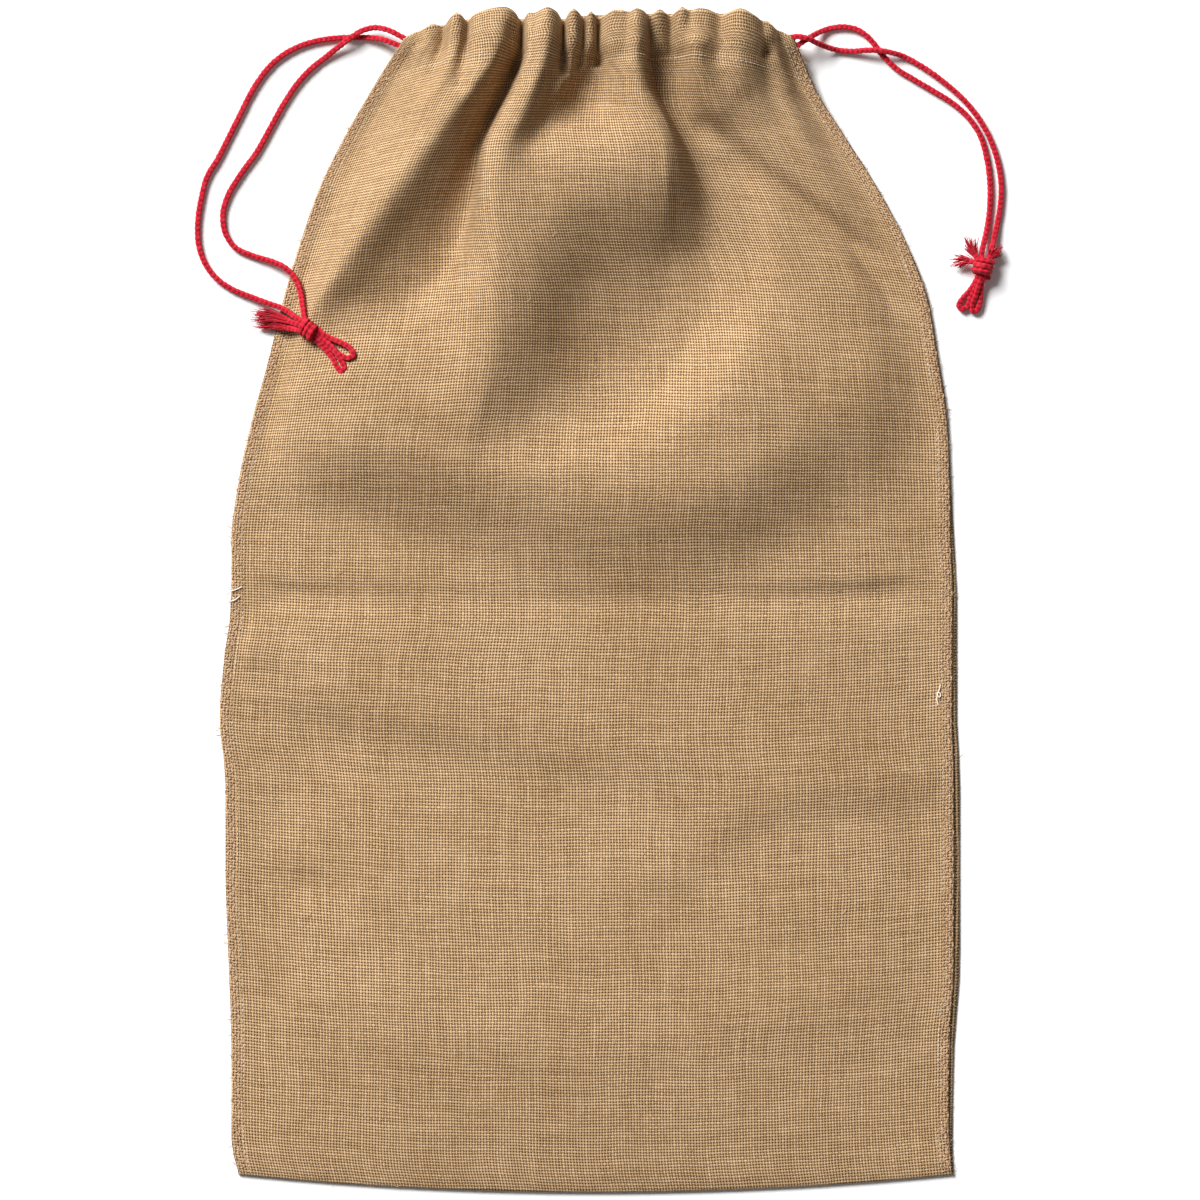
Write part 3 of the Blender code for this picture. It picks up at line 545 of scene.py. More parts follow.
# %% The main folds of the front
FOLDS = {
    # each row: how far up, how far across, and how high the cloth is there
    "ridge a": (
        (801, -58, 44), (778, -62, 46), (762, -69, 46), (745, -82, 46), (725, -97, 45), (704, -112, 44),
        (677, -132, 42), (650, -150, 37), (620, -170, 28), (592, -188, 19), (540, -204, 16),
    ),
    "flank of trough a": (
        (801, -51, 39), (778, -54, 38), (762, -59, 34), (745, -68, 33), (725, -80, 31), (704, -91, 30),
        (677, -105, 28), (650, -121, 25), (620, -141, 21), (592, -166, 17), (545, -188, 24),
    ),
    "trough a": (
        (801, -45, 31), (778, -47, 24), (762, -50, 17), (745, -57, 14), (725, -67, 13), (704, -76, 13),
        (677, -81, 13), (650, -88, 13), (620, -103, 14), (592, -136, 17), (560, -150, 27),
        (520, -156, 33),
    ),
    "left edge of ridge b": (
        (801, -38, 38), (778, -40, 42), (762, -43.5, 43), (745, -50.5, 44), (725, -61.5, 45),
        (704, -71, 45), (677, -74, 43), (650, -76, 39), (620, -82, 33), (592, -94, 30), (560, -106, 32),
        (529, -114, 34.5),
    ),
    "ridge b": (
        (801, -29, 47), (778, -30, 50), (762, -33, 51), (745, -40, 51), (725, -49, 51), (704, -58, 51),
        (677, -62, 50), (650, -61, 49), (620, -62, 47.5), (592, -63, 45), (560, -69, 41.5),
        (529, -78, 37.5), (505, -86, 34.5),
    ),
    "right flank of ridge b": (
        (801, -19, 38), (778, -19, 34), (762, -19, 30), (745, -22, 27), (733, -25, 28), (722, -30, 32),
        (712, -35, 38), (700, -38, 44), (685, -36, 47), (668, -33, 48), (650, -36, 47), (632, -41, 45.5),
        (612, -44, 43.5), (592, -47, 41), (570, -52, 38.5), (552, -57, 36.5), (529, -66, 34.5),
        (505, -76, 33.5),
    ),
    "middle": (
        (801, 7, 33), (778, 3, 27), (762, 0, 18), (745, -3, 13), (735, -5, 14), (726, -7, 23),
        (717, -9, 34), (706, -8, 42), (692, -2, 46), (675, 4, 44), (655, 6, 37), (635, 6, 29),
        (615, 3, 23), (592, -2, 20), (570, -10, 19), (552, -17, 19.5), (529, -30, 22), (510, -42, 27),
        (490, -50, 33),
    ),
    "ridge c": (
        (801, 29, 45), (778, 30, 46), (762, 30, 45), (747, 32, 44), (735, 37, 44), (722, 43, 45),
        (707, 48, 46), (690, 50, 44), (670, 50, 37), (650, 47, 27), (632, 42, 18.5), (612, 38, 13.5),
        (592, 31, 11.5), (575, 22, 11.5), (552, 9, 13), (529, -6, 17.5), (510, -22, 24.5),
        (490, -32, 32.5),
    ),
    "right edge of ridge c": (
        (801, 35, 41), (778, 35.5, 40), (762, 36, 40), (747, 38, 39), (735, 44, 39), (722, 51, 40),
        (707, 56, 40), (690, 59, 37), (670, 60, 29.5), (650, 60, 20.5), (632, 57, 13.5), (612, 55, 10),
        (592, 50, 9), (575, 42, 9.5), (552, 28, 11.5), (529, 12, 16.5), (510, -6, 24), (490, -14, 32.5),
    ),
    "trough b": (
        (801, 40, 30), (778, 40, 21), (762, 41, 15), (747, 43.5, 13), (735, 49.5, 13), (722, 57, 13),
        (707, 65, 12), (690, 73, 11), (670, 81, 10), (650, 85, 9), (632, 84, 8), (612, 79, 8),
        (592, 72, 8.5), (575, 63, 9.5), (552, 48, 12.5), (529, 31, 18), (510, 14, 25), (490, 6, 32.5),
    ),
    "far side of trough b": (
        (801, 58, 34), (778, 57, 25), (762, 56, 19), (747, 56, 16), (735, 60, 15), (722, 68, 15),
        (707, 79, 15), (690, 92, 11.5), (670, 100, 10.5), (650, 105, 10), (632, 104, 10), (612, 99, 11.5),
        (592, 92, 13.5), (575, 83, 16.5), (552, 68, 20.5), (529, 52, 25.5), (510, 36, 30),
        (490, 28, 33.5),
    ),
    "right hump": (
        (801, 68, 39), (778, 69, 37), (762, 71, 34), (747, 77, 29), (735, 85, 25.5), (722, 96, 22.5),
        (707, 108, 20), (690, 118, 18), (670, 126, 16.5), (645, 130, 16), (610, 127, 18),
        (592, 121, 21.5), (575, 113, 26), (552, 100, 31), (529, 86, 34), (500, 70, 34),
    ),
    "right shoulder": (
        (801, 114, 35), (778, 115, 33), (762, 118, 29), (738, 130, 21), (705, 144, 16), (671, 158, 15),
        (630, 172, 14.5), (592, 182, 14), (552, 184, 19), (510, 184, 21),
    ),
}
print(len(FOLDS), "fold lines, the highest", max(row[2] for rows in FOLDS.values() for row in rows), "mm")

# %% Where the gathers come down, and the smaller folds
FLAT_PART = np.array((
    # across, height
    (-190, 7), (-119, 12), (0, 14), (124, 12), (195, 7),
), float)
LANDING = np.array((
    # across, how far up the flat part reaches, where the gathers have their full height
    (-240, 462, 512),
    (-195, 452, 516),
    (-150, 442, 512),
    (-105, 428, 504),
    (-62, 414, 492),
    (6, 398, 478),
    (50, 400, 480),
    (96, 408, 490),
    (142, 430, 518),
    (185, 450, 545),
    (240, 470, 560),
), float)
SMALL_FOLDS = (
    # name, rise, width on its left, width on its right, path; each rise and width goes from the first
    # number at the path's start to the second at its end, and a path across counts below as its left
    ("lobe at the left exit", (8, 3), (7, 12), (7, 11), ((-111, 800), (-112, 772), (-120, 745))),
    ("crease by the left roll", (-8, -4), (3.4, 4), (3, 4), ((-99, 803), (-100, 776), (-109, 750))),
    ("left roll", (11, 5), (5.5, 8), (5.5, 8), ((-91.5, 803), (-92, 776), (-101, 754), (-115, 732))),
    ("crease by the big lobe", (-10, -5), (3.4, 5), (3.4, 5), ((-83, 802), (-85, 772), (-88, 748))),
    ("dent in the big lobe", (-5, -4), (4, 5), (4, 4), ((-55, 786), (-56, 766), (-62, 752))),
    ("valley by the big lobe", (-7, -5), (3.2, 4), (3.2, 4), ((-47, 800), (-48, 776), (-52, 758))),
    ("fold in the small valley", (7, 3), (3, 3), (3, 3), ((-42.5, 799), (-42.5, 777), (-45, 760))),
    ("slit by the strong roll", (-11, -8), (2.6, 3), (2.6, 3), ((-18.5, 800), (-18.5, 777), (-18, 757))),
    ("second roll", (9, 6), (5, 5), (5, 5), ((-11, 803), (-12, 778), (-15, 758), (-22, 744))),
    ("slit by the second roll", (-5, -4), (2.6, 2.8), (2.6, 2.8), ((-4.5, 802), (-5.5, 779), (-9, 762))),
    ("third roll", (7, 3), (4, 4), (4, 4), ((0, 801), (-1.5, 779), (-6, 760))),
    ("slit by the dip", (-7, -6), (2.4, 2.6), (2.4, 2.8), ((4.5, 798), (4.5, 778), (5, 764))),
    ("lobe right of the dip", (6, 2), (5, 5), (4.5, 5), ((14, 800), (14, 780), (14, 766))),
    ("dent in ridge c", (-5, -2), (3, 4), (3, 4), ((26, 804), (25, 786), (24, 770))),
    ("first lobe over trough b", (9, 1), (6, 6), (6, 6), ((46, 803), (46.5, 786), (47, 772))),
    ("crease between those lobes", (-4, -2), (3, 3), (3, 3), ((53.5, 803), (53.5, 788), (53.5, 774))),
    ("second lobe over trough b", (6, 2), (5, 6), (5, 6), ((60.5, 803), (61, 786), (62, 770))),
    ("crease by the lump", (-4, -2), (3, 4), (3, 4), ((67, 802), (66, 786), (64, 770))),
    ("lump right of trough b", (6, 5), (9, 12), (8, 12), ((71, 774), (74, 752), (84, 732))),
    ("dimple", (-8, -3), (6, 7), (6, 7), ((88, 803), (87, 780), (86, 768))),
    ("lobe by the dimple", (6, 3), (8, 9), (7, 9), ((103, 802), (102, 775), (101, 750))),
    ("crease between the lobes", (-8, -5), (3.4, 4), (3.4, 4), ((115.5, 803), (116, 782), (118, 770))),
    ("slot", (-9, -3), (4, 11), (5, 12), ((118, 772), (121, 752), (128, 726))),
    ("end lobe", (7, 3), (6, 8), (6, 8), ((125, 800), (128, 772), (134, 750))),
    ("slanting crease", (-5, -12), (10, 10), (8, 8),
     ((78, 720), (104, 698), (141, 669), (174, 643), (212, 607))),
    ("half-way crease", (-1.6, -1.6), (14, 14), (7, 7), ((-246, 405), (0, 400), (246, 406))),
    ("its left end", (-3.6, -0.3), (14, 14), (6, 8), ((-246, 406), (-190, 404), (-120, 402))),
    ("its right end", (-0.3, -4.2), (16, 16), (8, 5), ((90, 402), (170, 404), (246, 407))),
    ("foot of the lower crease", (-4.2, -1.4), (60, 60), (22, 20),
     ((-240, 318), (-159, 302), (-102, 290), (-21, 273), (44, 263))),
    ("brow of the lower crease", (4.2, 1.4), (22, 20), (60, 60),
     ((-240, 350), (-159, 334), (-102, 322), (-21, 304), (44, 292))),
    ("foot of the right crease", (-1, -1.8), (40, 40), (14, 11),
     ((62, 196), (88, 222), (115, 242), (174, 254), (250, 254))),
    ("brow of the right crease", (1, 1.8), (14, 11), (40, 40),
     ((62, 222), (88, 244), (115, 262), (174, 271), (250, 271))),
    ("wave above the bottom fold", (1.6, 1.6), (22, 22), (26, 26), ((-180, 120), (0, 104), (170, 128))),
    ("pucker in the left seam", (-6, -0.6), (9, 12), (5, 6), ((-240, 352), (-198, 347))),
    ("second pucker there", (-6, -0.6), (9, 12), (5, 6), ((-240, 291), (-204, 285))),
    ("third pucker there", (-6, -0.6), (9, 12), (5, 6), ((-240, 259), (-204, 253))),
    ("fourth pucker there", (-6, -0.8), (10, 14), (5, 7), ((-240, 214), (-160, 206))),
    ("pucker in the right seam", (3, 0.3), (4, 5), (8, 9), ((244, 392), (200, 396))),
)
CORD_OPENINGS = (
    # across, up, rise, half width, half height: where the front stands off over the two strands
    (-122, 776, 5.6, 13, 11),
    (132, 778, 6.2, 13, 13),
)
BACK_PLEATS = (
    # across, rise, half width
    (-104, 6, 7),
    (-72, 10, 8),
    (-28, 10, 6),
    (28, 10, 6),
    (76, 10, 8),
    (108, 7, 7),
)
BACK_PLEAT_RUN = 80.0      # how far down from the mouth they reach
FLAT_SHOULDER = 140.0      # how far above the bottom fold the flat part reaches its height
SEAM_LIFT, SEAM_LIFT_FROM, SEAM_LIFT_REACH = 10.0, 700.0, 40.0   # at the mouth; from this far up; inwards
BOTTOM_BOW = 12.0          # how much further up the bottom fold is at its ends
SMALL_FOLD_MARGIN = 9.0    # the small folds die out this far from the seams
SCALLOP, SCALLOP_RUN = 0.42, 50.0   # how far the mouth's low places draw back, and how far down
MOUTH_ARCH = 33.0          # how high the gathers stand at the mouth, over its seams
MOUTH_TURN = 2.5           # the hem's own roundness at the mouth
BACK_SHORTER = 12.0        # how far the back stays behind the front there
print(len(SMALL_FOLDS), "small folds,", len(BACK_PLEATS), "pleats in the back")

# %% Read the heights of the front and the back
PATH_POINTS = 5            # for each row of a small fold's path
SIDE_SHARPNESS = 3.0       # how soon a small fold's one side gives way to the other at its path's start


def picked(values, number):
    """Each point's own value out of its row of values."""
    return np.take_along_axis(values, number, axis=-1)[..., 0]


def taper(ends, t):
    return ends[0] + (ends[1] - ends[0]) * t


def fold_height(x, y, rise, left, right, path):
    """The height that one ridge or trough adds at each point."""
    line = curve_through(path, PATH_POINTS * len(path))
    start, step = line[:-1], np.diff(line, axis=0)
    dx = x[..., None] - start[:, 0]
    dy = y[..., None] - start[:, 1]
    along = np.clip((dx * step[:, 0] + dy * step[:, 1]) / (step**2).sum(axis=1), 0, 1)
    distance = np.hypot(dx - along * step[:, 0], dy - along * step[:, 1])
    nearest = distance.argmin(axis=-1)[..., None]
    t = (picked(along, nearest) + nearest[..., 0]) / len(step)
    side = picked(step[:, 0] * dy - step[:, 1] * dx, nearest)
    blend = 0.5 + 0.5 * np.tanh(side / (np.hypot(*step[0]) * SIDE_SHARPNESS))
    width = taper(right, t) * blend + taper(left, t) * (1 - blend)
    return taper(rise, t) * np.exp(-(picked(distance, nearest) / width) ** 2)


def through_heights(x, across, height):
    """Heights read at x from a smooth line through each point's own row of places and heights."""
    run = np.diff(across, axis=-1)
    slope = np.diff(height, axis=-1) / run
    mean = level_mean(slope[..., :-1], slope[..., 1:])
    ends = np.zeros_like(mean[..., :1])
    tangent = np.concatenate((ends, mean, ends), axis=-1)
    piece = np.clip((x[..., None] >= across).sum(axis=-1) - 1, 0, across.shape[-1] - 2)[..., None]
    length = picked(run, piece)
    t = np.clip((x - picked(across, piece)) / length, 0, 1)
    return smooth_way(t, picked(height, piece), picked(height[..., 1:], piece),
                      length * picked(tangent, piece), length * picked(tangent[..., 1:], piece))


def seam_lift(y):
    return SEAM_LIFT * smooth_step((y - SEAM_LIFT_FROM) / (SACK_LENGTH - SEAM_LIFT_FROM))


def seam_lines(y):
    """Where the side stitches are across the sack."""
    _, left, right, peep = np.moveaxis(smooth_rows(SECTIONS, y), -1, 0)
    return left + SEAM_ALLOWANCE, right - peep - SEAM_ALLOWANCE


def from_seams(x, y):
    left_seam, right_seam = seam_lines(y)
    return np.minimum(x - left_seam, right_seam - x)


def front_height(x, y):
    """Top of the sack's front over the table."""
    left_seam, right_seam = (line[..., None] for line in seam_lines(y))
    seam_height = SEAM_DEPTH + seam_lift(y)[..., None]

    def between_seams(across, height):
        return through_heights(x, np.concatenate((left_seam, across, right_seam), axis=-1),
                               np.concatenate((seam_height, height, seam_height), axis=-1))

    fold_lines = [smooth_rows(np.array(fold[::-1], float), y) for fold in FOLDS.values()]
    gathers = between_seams(*np.moveaxis(np.stack(fold_lines, axis=-2), -1, 0))
    flat = between_seams(*(np.broadcast_to(column, (*y.shape, len(column))) for column in FLAT_PART.T))
    low, high = np.moveaxis(smooth_rows(LANDING, x), -1, 0)
    flat = flat + (gathers - flat) * smooth_step((y - low) / (high - low))
    above_fold = y - BOTTOM_BOW * (x / SECTIONS[0, 3]) ** 2
    shoulder = np.clip(above_fold / FLAT_SHOULDER, 0, 1)
    body = SEAM_DEPTH + (flat - SEAM_DEPTH) * shoulder * (2 - shoulder)
    small = sum(fold_height(x, y, *fold[1:]) for fold in SMALL_FOLDS)
    body = body + small * smooth_step(from_seams(x, y) / SMALL_FOLD_MARGIN)
    room = sum(rise * np.exp(-((x - across) / wide) ** 2 - ((y - up) / tall) ** 2)
               for across, up, rise, wide, tall in CORD_OPENINGS)
    return np.maximum(body, SEAM_DEPTH + seam_lift(y)) + room


def back_height(x, y):
    """Underside of the sack's back over the table."""
    lifted = seam_lift(y) * (1 - smooth_step(from_seams(x, y) / SEAM_LIFT_REACH))
    fade = smooth_step(1 - (SACK_LENGTH - y) / BACK_PLEAT_RUN)
    inner = smooth_step(from_seams(x, y) / SMALL_FOLD_MARGIN)
    pleats = sum(rise * np.exp(-((x - across) / half) ** 2) for across, rise, half in BACK_PLEATS)
    return lifted + pleats * fade * inner


def facing(height, x, y, step=0.5):
    """Unit vectors standing up from a height function's surface."""
    slope_x = (height(x + step, y) - height(x - step, y)) / (2 * step)
    slope_y = (height(x, y + step) - height(x, y - step)) / (2 * step)
    normal = np.stack((-slope_x, -slope_y, np.ones_like(x)), axis=-1)
    return normal / np.linalg.norm(normal, axis=-1, keepdims=True)


middle_of_front = np.array([0.0])
print("height half way up:", front_height(middle_of_front, middle_of_front + 400).round(1), "mm")

# %% [markdown]
# ## One length of cloth
# Now the cloth itself. It is a grid of points: columns run from raw edge to raw edge, and rows follow
# the one length of burlap as it was cut, from the back's hem over the mouth, down the back, round the
# bottom fold, up the front, over the mouth again and down inside the hem. The columns of each row are
# spread evenly along the cloth, so a deep fold takes as many threads as its cloth has, and the weave
# on its UV map keeps its pitch. Solidify then gives the sheet its thickness.

# %% Cut and fold the burlap
COLUMNS = 190              # between the side stitches
ALLOWANCE_COLUMNS = 3      # in each seam allowance
FRONT_ROWS = (             # up to this height, a row every so much
    (200, 12), (370, 7), (425, 4.2), (600, 4.4), (700, 3.2), (MOUTH, 1.9),
)
BACK_ROWS = ((34, 10), (690, 22), (MOUTH, 6))
FIRST_ROW = 13.5           # height of its ends
HEM_ROWS = 7               # in a hem's inner layer, at most
TURN_ROWS = 3              # round each fold of the cloth
ROW_FINE = 1200            # places tried along a row, to spread its columns
LAYER = 1.4                # thickness given by Solidify
CLOSER = 0.28              # how much closer the columns stand in the middle, where the folds are narrow
HEM_FLATNESS = 0.7         # under 1, the hem swells sooner after its edges


def rows_between(first, bands):
    rows = [first]
    for top, step in bands:
        count = max(1, round((top - rows[-1]) / step))
        rows.extend(np.linspace(rows[-1], top, count + 1)[1:])
    return np.array(rows)


def column_shares():
    """How far across the cloth each column lies, from 0 at one side stitch to 1 at the other."""
    even = np.linspace(-1, 1, COLUMNS + 1)
    return 0.5 + 0.5 * (even * (1 - CLOSER) + CLOSER * even**3)


def with_allowances(left, inner, right):
    """The columns between the seams, with those of both seam allowances."""
    return np.concatenate((np.linspace(left, inner[0], ALLOWANCE_COLUMNS + 1)[:-1], inner,
                           np.linspace(inner[-1], right, ALLOWANCE_COLUMNS + 1)[1:]))


SHARES = column_shares()


def spread_row(edge, height, peep_side):
    """Places of one row across the cloth, spread evenly along it."""
    bow, left, right, peep = smooth_rows(SECTIONS, edge)
    right = right - peep * (1 - peep_side)
    power = ROUND_AT_FOLD + (ROUND_AT_MOUTH - ROUND_AT_FOLD) * edge / SACK_LENGTH
    middle, half = (left + right) / 2, (right - left) / 2

    def y_at(x):
        return edge + bow * (1 - np.abs((x - middle) / half) ** power)

    fine = np.linspace(left + SEAM_ALLOWANCE, right - peep * peep_side - SEAM_ALLOWANCE, ROW_FINE)
    run = added_up(np.hypot(np.diff(fine), np.diff(height(fine, y_at(fine)))))
    x = with_allowances(left, np.interp(SHARES * run[-1], run, fine), right)
    return x, y_at(x), run[-1]


def hem_fullness(y):
    depth = (SACK_LENGTH - y) / HEM_DEPTH
    return np.sin(np.pi * np.clip(depth, 0, 1)) ** HEM_FLATNESS


def leaf_row(edge, height, peep_side, outward, rise):
    """One row of a leaf: its outer layer, the hem's inner layer, the way out of the sack, and its length."""
    x, y, cloth = spread_row(edge, height, peep_side)
    z = height(x, y)
    free = smooth_step(from_seams(x, y) / SMALL_FOLD_MARGIN)
    near = smooth_step(1 - (SACK_LENGTH - y) / SCALLOP_RUN)
    across = np.linspace(-1, 1, len(x))
    arch = SEAM_DEPTH + SEAM_LIFT + MOUTH_ARCH * (1 - np.abs(across) ** 3)
    lean = (SCALLOP * (z - arch) - MOUTH_TURN) * rise - BACK_SHORTER * (1 - rise)
    lean = lean * near * free
    up = facing(height, x, y) * outward
    top = np.column_stack((x, y + lean, z))
    swell = (HEM_SWELL * hem_fullness(y) * free)[:, None] * rise
    outer = top + up * (swell - CLOTH / 2)
    inner = top - up * (swell + CLOTH * 1.5)
    return outer, inner, up, cloth


FRONT, BACK = (front_height, 0, 1, 1.0), (back_height, 1, -1, 0.0)   # the settings of each leaf's rows
front_rows = rows_between(FIRST_ROW, FRONT_ROWS)
back_rows = rows_between(FIRST_ROW, BACK_ROWS)
front = [leaf_row(edge, *FRONT) for edge in front_rows]
back = [leaf_row(edge, *BACK) for edge in back_rows]
print(len(front_rows), "rows up the front,", len(back_rows), "down the back; cloth across the mouth",
      round(front[-1][3]), "mm and half way up", round(front[60][3]), "mm")

# %% Join the rows into one length
AHEAD = np.array((0.0, 1.0, 0.0))


def turned(first, last, ahead):
    """Rows round a fold, from one layer to the next, bulging ahead."""
    middle, half = (first + last) / 2, (first - last) / 2
    reach = np.linalg.norm(half, axis=1, keepdims=True) * ahead
    angles = np.pi * np.arange(1, TURN_ROWS + 1) / (TURN_ROWS + 1)
    return [middle + half * math.cos(a) + reach * math.sin(a) for a in angles]


def hem_inside(leaf, edges):
    """Rows of the hem's inner layer, from the mouth down to its stitches."""
    found = [row for row, edge in zip(leaf, edges) if edge >= MOUTH - HEM_DEPTH]
    chosen = np.linspace(len(found) - 1, 0, min(HEM_ROWS, len(found))).round().astype(int)
    return [found[k][1] for k in chosen]


front_hem, back_hem = hem_inside(front, front_rows), hem_inside(back, back_rows)
rows = [*back_hem[::-1], *turned(back_hem[0], back[-1][0], AHEAD), *[row[0] for row in back[::-1]],
        *turned(back[0][0], front[0][0], -AHEAD), *[row[0] for row in front],
        *turned(front[-1][0], front_hem[0], AHEAD), *front_hem]
cloth_points = np.array(rows)
print("grid of", cloth_points.shape[0], "rows by", cloth_points.shape[1], "columns")

# %% Make the sheet, with the weave's own measure on it
CLOTH_WIDTH = 500.0


def cloth_sheet(points):
    """The grid as a mesh whose UV map is in metres of cloth, across and along."""
    count, wide = points.shape[:2]
    numbers = np.arange(count * wide).reshape(count, wide)
    faces = np.stack((numbers[:-1, :-1], numbers[:-1, 1:], numbers[1:, 1:], numbers[1:, :-1]), axis=-1)
    mesh = bpy.data.meshes.new("sack_cloth")
    mesh.from_pydata(place(points.reshape(-1, 3)).tolist(), [], faces.reshape(-1, 4).tolist())
    step = np.linalg.norm(np.diff(points, axis=0), axis=2)
    along = added_up(np.median(step, axis=1)) * MM
    inner = SEAM_ALLOWANCE + SHARES * (CLOTH_WIDTH - 2 * SEAM_ALLOWANCE)
    across = with_allowances(0, inner, CLOTH_WIDTH) * MM
    measure = np.stack((np.tile(across, count), np.repeat(along, wide)), axis=-1)
    corners = np.empty(len(mesh.loops), int)
    mesh.loops.foreach_get("vertex_index", corners)
    mesh.uv_layers.new(name="cloth").data.foreach_set("uv", measure[corners].ravel())
    mesh.shade_smooth()
    return put("sack_cloth", mesh), along[-1]


sack_cloth, cloth_length = cloth_sheet(cloth_points)
print("cloth is", round(cloth_length * 1000), "mm long as it was cut")

# %% [markdown]
# ## Burlap
# Jute threads of uneven thickness cross over and under, about twelve to the inch, with small gaps
# between them that painted shade darkens. The material builds that from the cloth's own measure. One
# number counts the warp threads and another the weft; a slow noise lets the threads wander; each thread
# gets its own shade from a random number of its own. Where a thread passes over, it is high and
# painted light; towards its sides, where it dips and in the gaps, painted shade makes the colour fall
# to a deep brown. Slubs, the thicker pale stretches in a thread, are noise drawn out along it.

# %% One set of threads
PITCH = 0.00205            # metres from thread to thread
SLUB_RUN = 0.05            # slubs for each thread crossed
THREAD_APART = 7.3         # how far apart in the noise the slubs of two neighbours are
THINNEST, SLUB_SWELL = 0.215, 0.30     # half a thread's width, in threads, and what a slub adds
OWN_SHADE, BETWEEN_SLUBS = 0.16, -0.18 # what chance adds to a thread's shade, and its shade without slubs


def thread_set(made, across, along, seed):
    """A set of threads, which `across` counts: each point's thread, how high it stands, and its shade."""
    number = made.maths("FLOOR", across)
    chance = made.add("ShaderNodeTexWhiteNoise", {"W": made.plus(number, seed)}, noise_dimensions="1D")
    inside = made.maths("SUBTRACT", made.maths("FRACT", across), 0.5)
    lengthways = made.combine(made.times(number, THREAD_APART), made.times(along, SLUB_RUN), seed)
    slub = made.noise(lengthways, 1.0)
    width = made.scaled(slub, SLUB_SWELL, THINNEST)
    from_middle = made.maths("DIVIDE", made.maths("ABSOLUTE", inside), width)
    profile = made.maths("SUBTRACT", 1.0, made.maths("POWER", from_middle, 2.0), clamp=True)
    shade = made.plus(made.times(chance, OWN_SHADE), made.scaled(slub, 1.0, BETWEEN_SLUBS))
    return number, profile, shade


print("threads stand", round(PITCH * 1000, 2), "mm apart,", round(25.4 * MM / PITCH, 1), "to the inch")

# %% Weave the burlap's material
# The deep jute colour is painted shade, for the gaps and the low sides of the threads.
LIGHT_JUTE, MID_JUTE, JUTE_IN_PAINTED_SHADE = (0.88, 0.61, 0.36, 1), (0.58, 0.37, 0.185, 1), (0.06, 0.026, 0.009, 1)
WANDER, WANDER_SCALE = 2.2, 14.0       # how many threads they wander by, and how many times to a metre
DIP = 0.38                             # how far a thread dips where another passes over it
FIBRES, PATCHES = 2600.0, 12.0         # how many to a metre
PATCH_SHADE, CROSSING_SHADE, FIBRE_SHADE = 1.0, 0.4, 0.3   # how far each lightens and darkens the jute
WARP_SEED, WEFT_SEED = 3.0, 57.0


def burlap_finish():
    made = Finish("burlap", 0.92, Specular_IOR_Level=0.1)
    measure = made.add("ShaderNodeUVMap", uv_map="cloth")
    elsewhere = made.add("ShaderNodeMapping", {"Vector": measure, "Location": (0.7, 0.3, 0)})
    split = made.add("ShaderNodeSeparateXYZ", {0: measure})
    warp, weft = (made.plus(made.maths("DIVIDE", way, PITCH),
                            made.times(made.noise(spot, WANDER_SCALE, 3.0), WANDER))
                  for way, spot in ((split, measure), (split.node.outputs[1], elsewhere)))
    warp_number, warp_profile, warp_shade = thread_set(made, warp, weft, WARP_SEED)
    weft_number, weft_profile, weft_shade = thread_set(made, weft, warp, WEFT_SEED)

    def standing(profile, shifted, number):
        """How high a thread stands as it goes over and under the other set."""
        wave = made.maths("COSINE", made.times(made.plus(shifted, number), math.pi))
        return made.times(profile, made.scaled(wave, DIP, 1 - DIP))

    warp_high = standing(warp_profile, made.maths("SUBTRACT", weft, 0.5), warp_number)
    weft_high = standing(weft_profile, made.plus(warp, 0.5), weft_number)
    height = made.maths("MAXIMUM", warp_high, weft_high)
    on_top = made.maths("GREATER_THAN", warp_high, weft_high)
    tone = made.add("ShaderNodeMix", {"Factor": on_top, 2: weft_shade, 3: warp_shade}, data_type="FLOAT")
    crossing = made.add("ShaderNodeTexWhiteNoise", {"Vector": made.combine(warp_number, weft_number)},
                        noise_dimensions="2D")
    fibre = made.noise(measure, FIBRES)
    patch = made.noise(measure, PATCHES, 5.0, 0.6)
    tone = made.plus(tone, made.scaled(patch, PATCH_SHADE, -PATCH_SHADE / 2))
    tone = made.plus(tone, made.scaled(crossing, CROSSING_SHADE, -CROSSING_SHADE / 2))
    tone = made.plus(tone, made.scaled(fibre, FIBRE_SHADE, -FIBRE_SHADE / 2), clamp=True)
    jute = made.blend(tone, MID_JUTE, LIGHT_JUTE)
    # Painted shade and light: a thread is lighter on top and darker at its sides, where it dips and in the gaps.
    made.colour(made.blend(made.ramp(height, 0.08, 0.95), JUTE_IN_PAINTED_SHADE, jute))
    made.bump(made.plus(height, made.times(fibre, 0.25)), 0.0005, 0.45)
    return made.material


burlap = burlap_finish()
sack_cloth.data.materials.append(burlap)
thick = sack_cloth.modifiers.new("layer", "SOLIDIFY")
thick.thickness = LAYER * MM
thick.offset = 0
thick.use_rim = True
solid = bpy.data.meshes.new_from_object(sack_cloth.evaluated_get(bpy.context.evaluated_depsgraph_get()))
solid.name = "sack_cloth"
sack_cloth.modifiers.clear()
sack_cloth.data = solid
print("cloth has", triangles(sack_cloth), "triangles; burlap", len(burlap.node_tree.nodes), "nodes")

# %% [markdown]
# ## Stitches
# The side seams show as a line of pale thread about 9 mm inside the raw edge, and the hem as one
# 30 mm below the mouth. A stitch is a small bead of thread pressed into the cloth, and there are more
# than a thousand, so one tree lays them all: it walks along a line, sets a stretched bead at each
# step, turns it the way the line goes, and makes each a little longer, shorter or more crooked.

# %% The tree that sews along a line
THREAD_MOTTLES, SUNK_STRETCHES = 900.0, 32.0   # how many to a metre
UNEVEN = 0.18              # how much longer or shorter a stitch may be


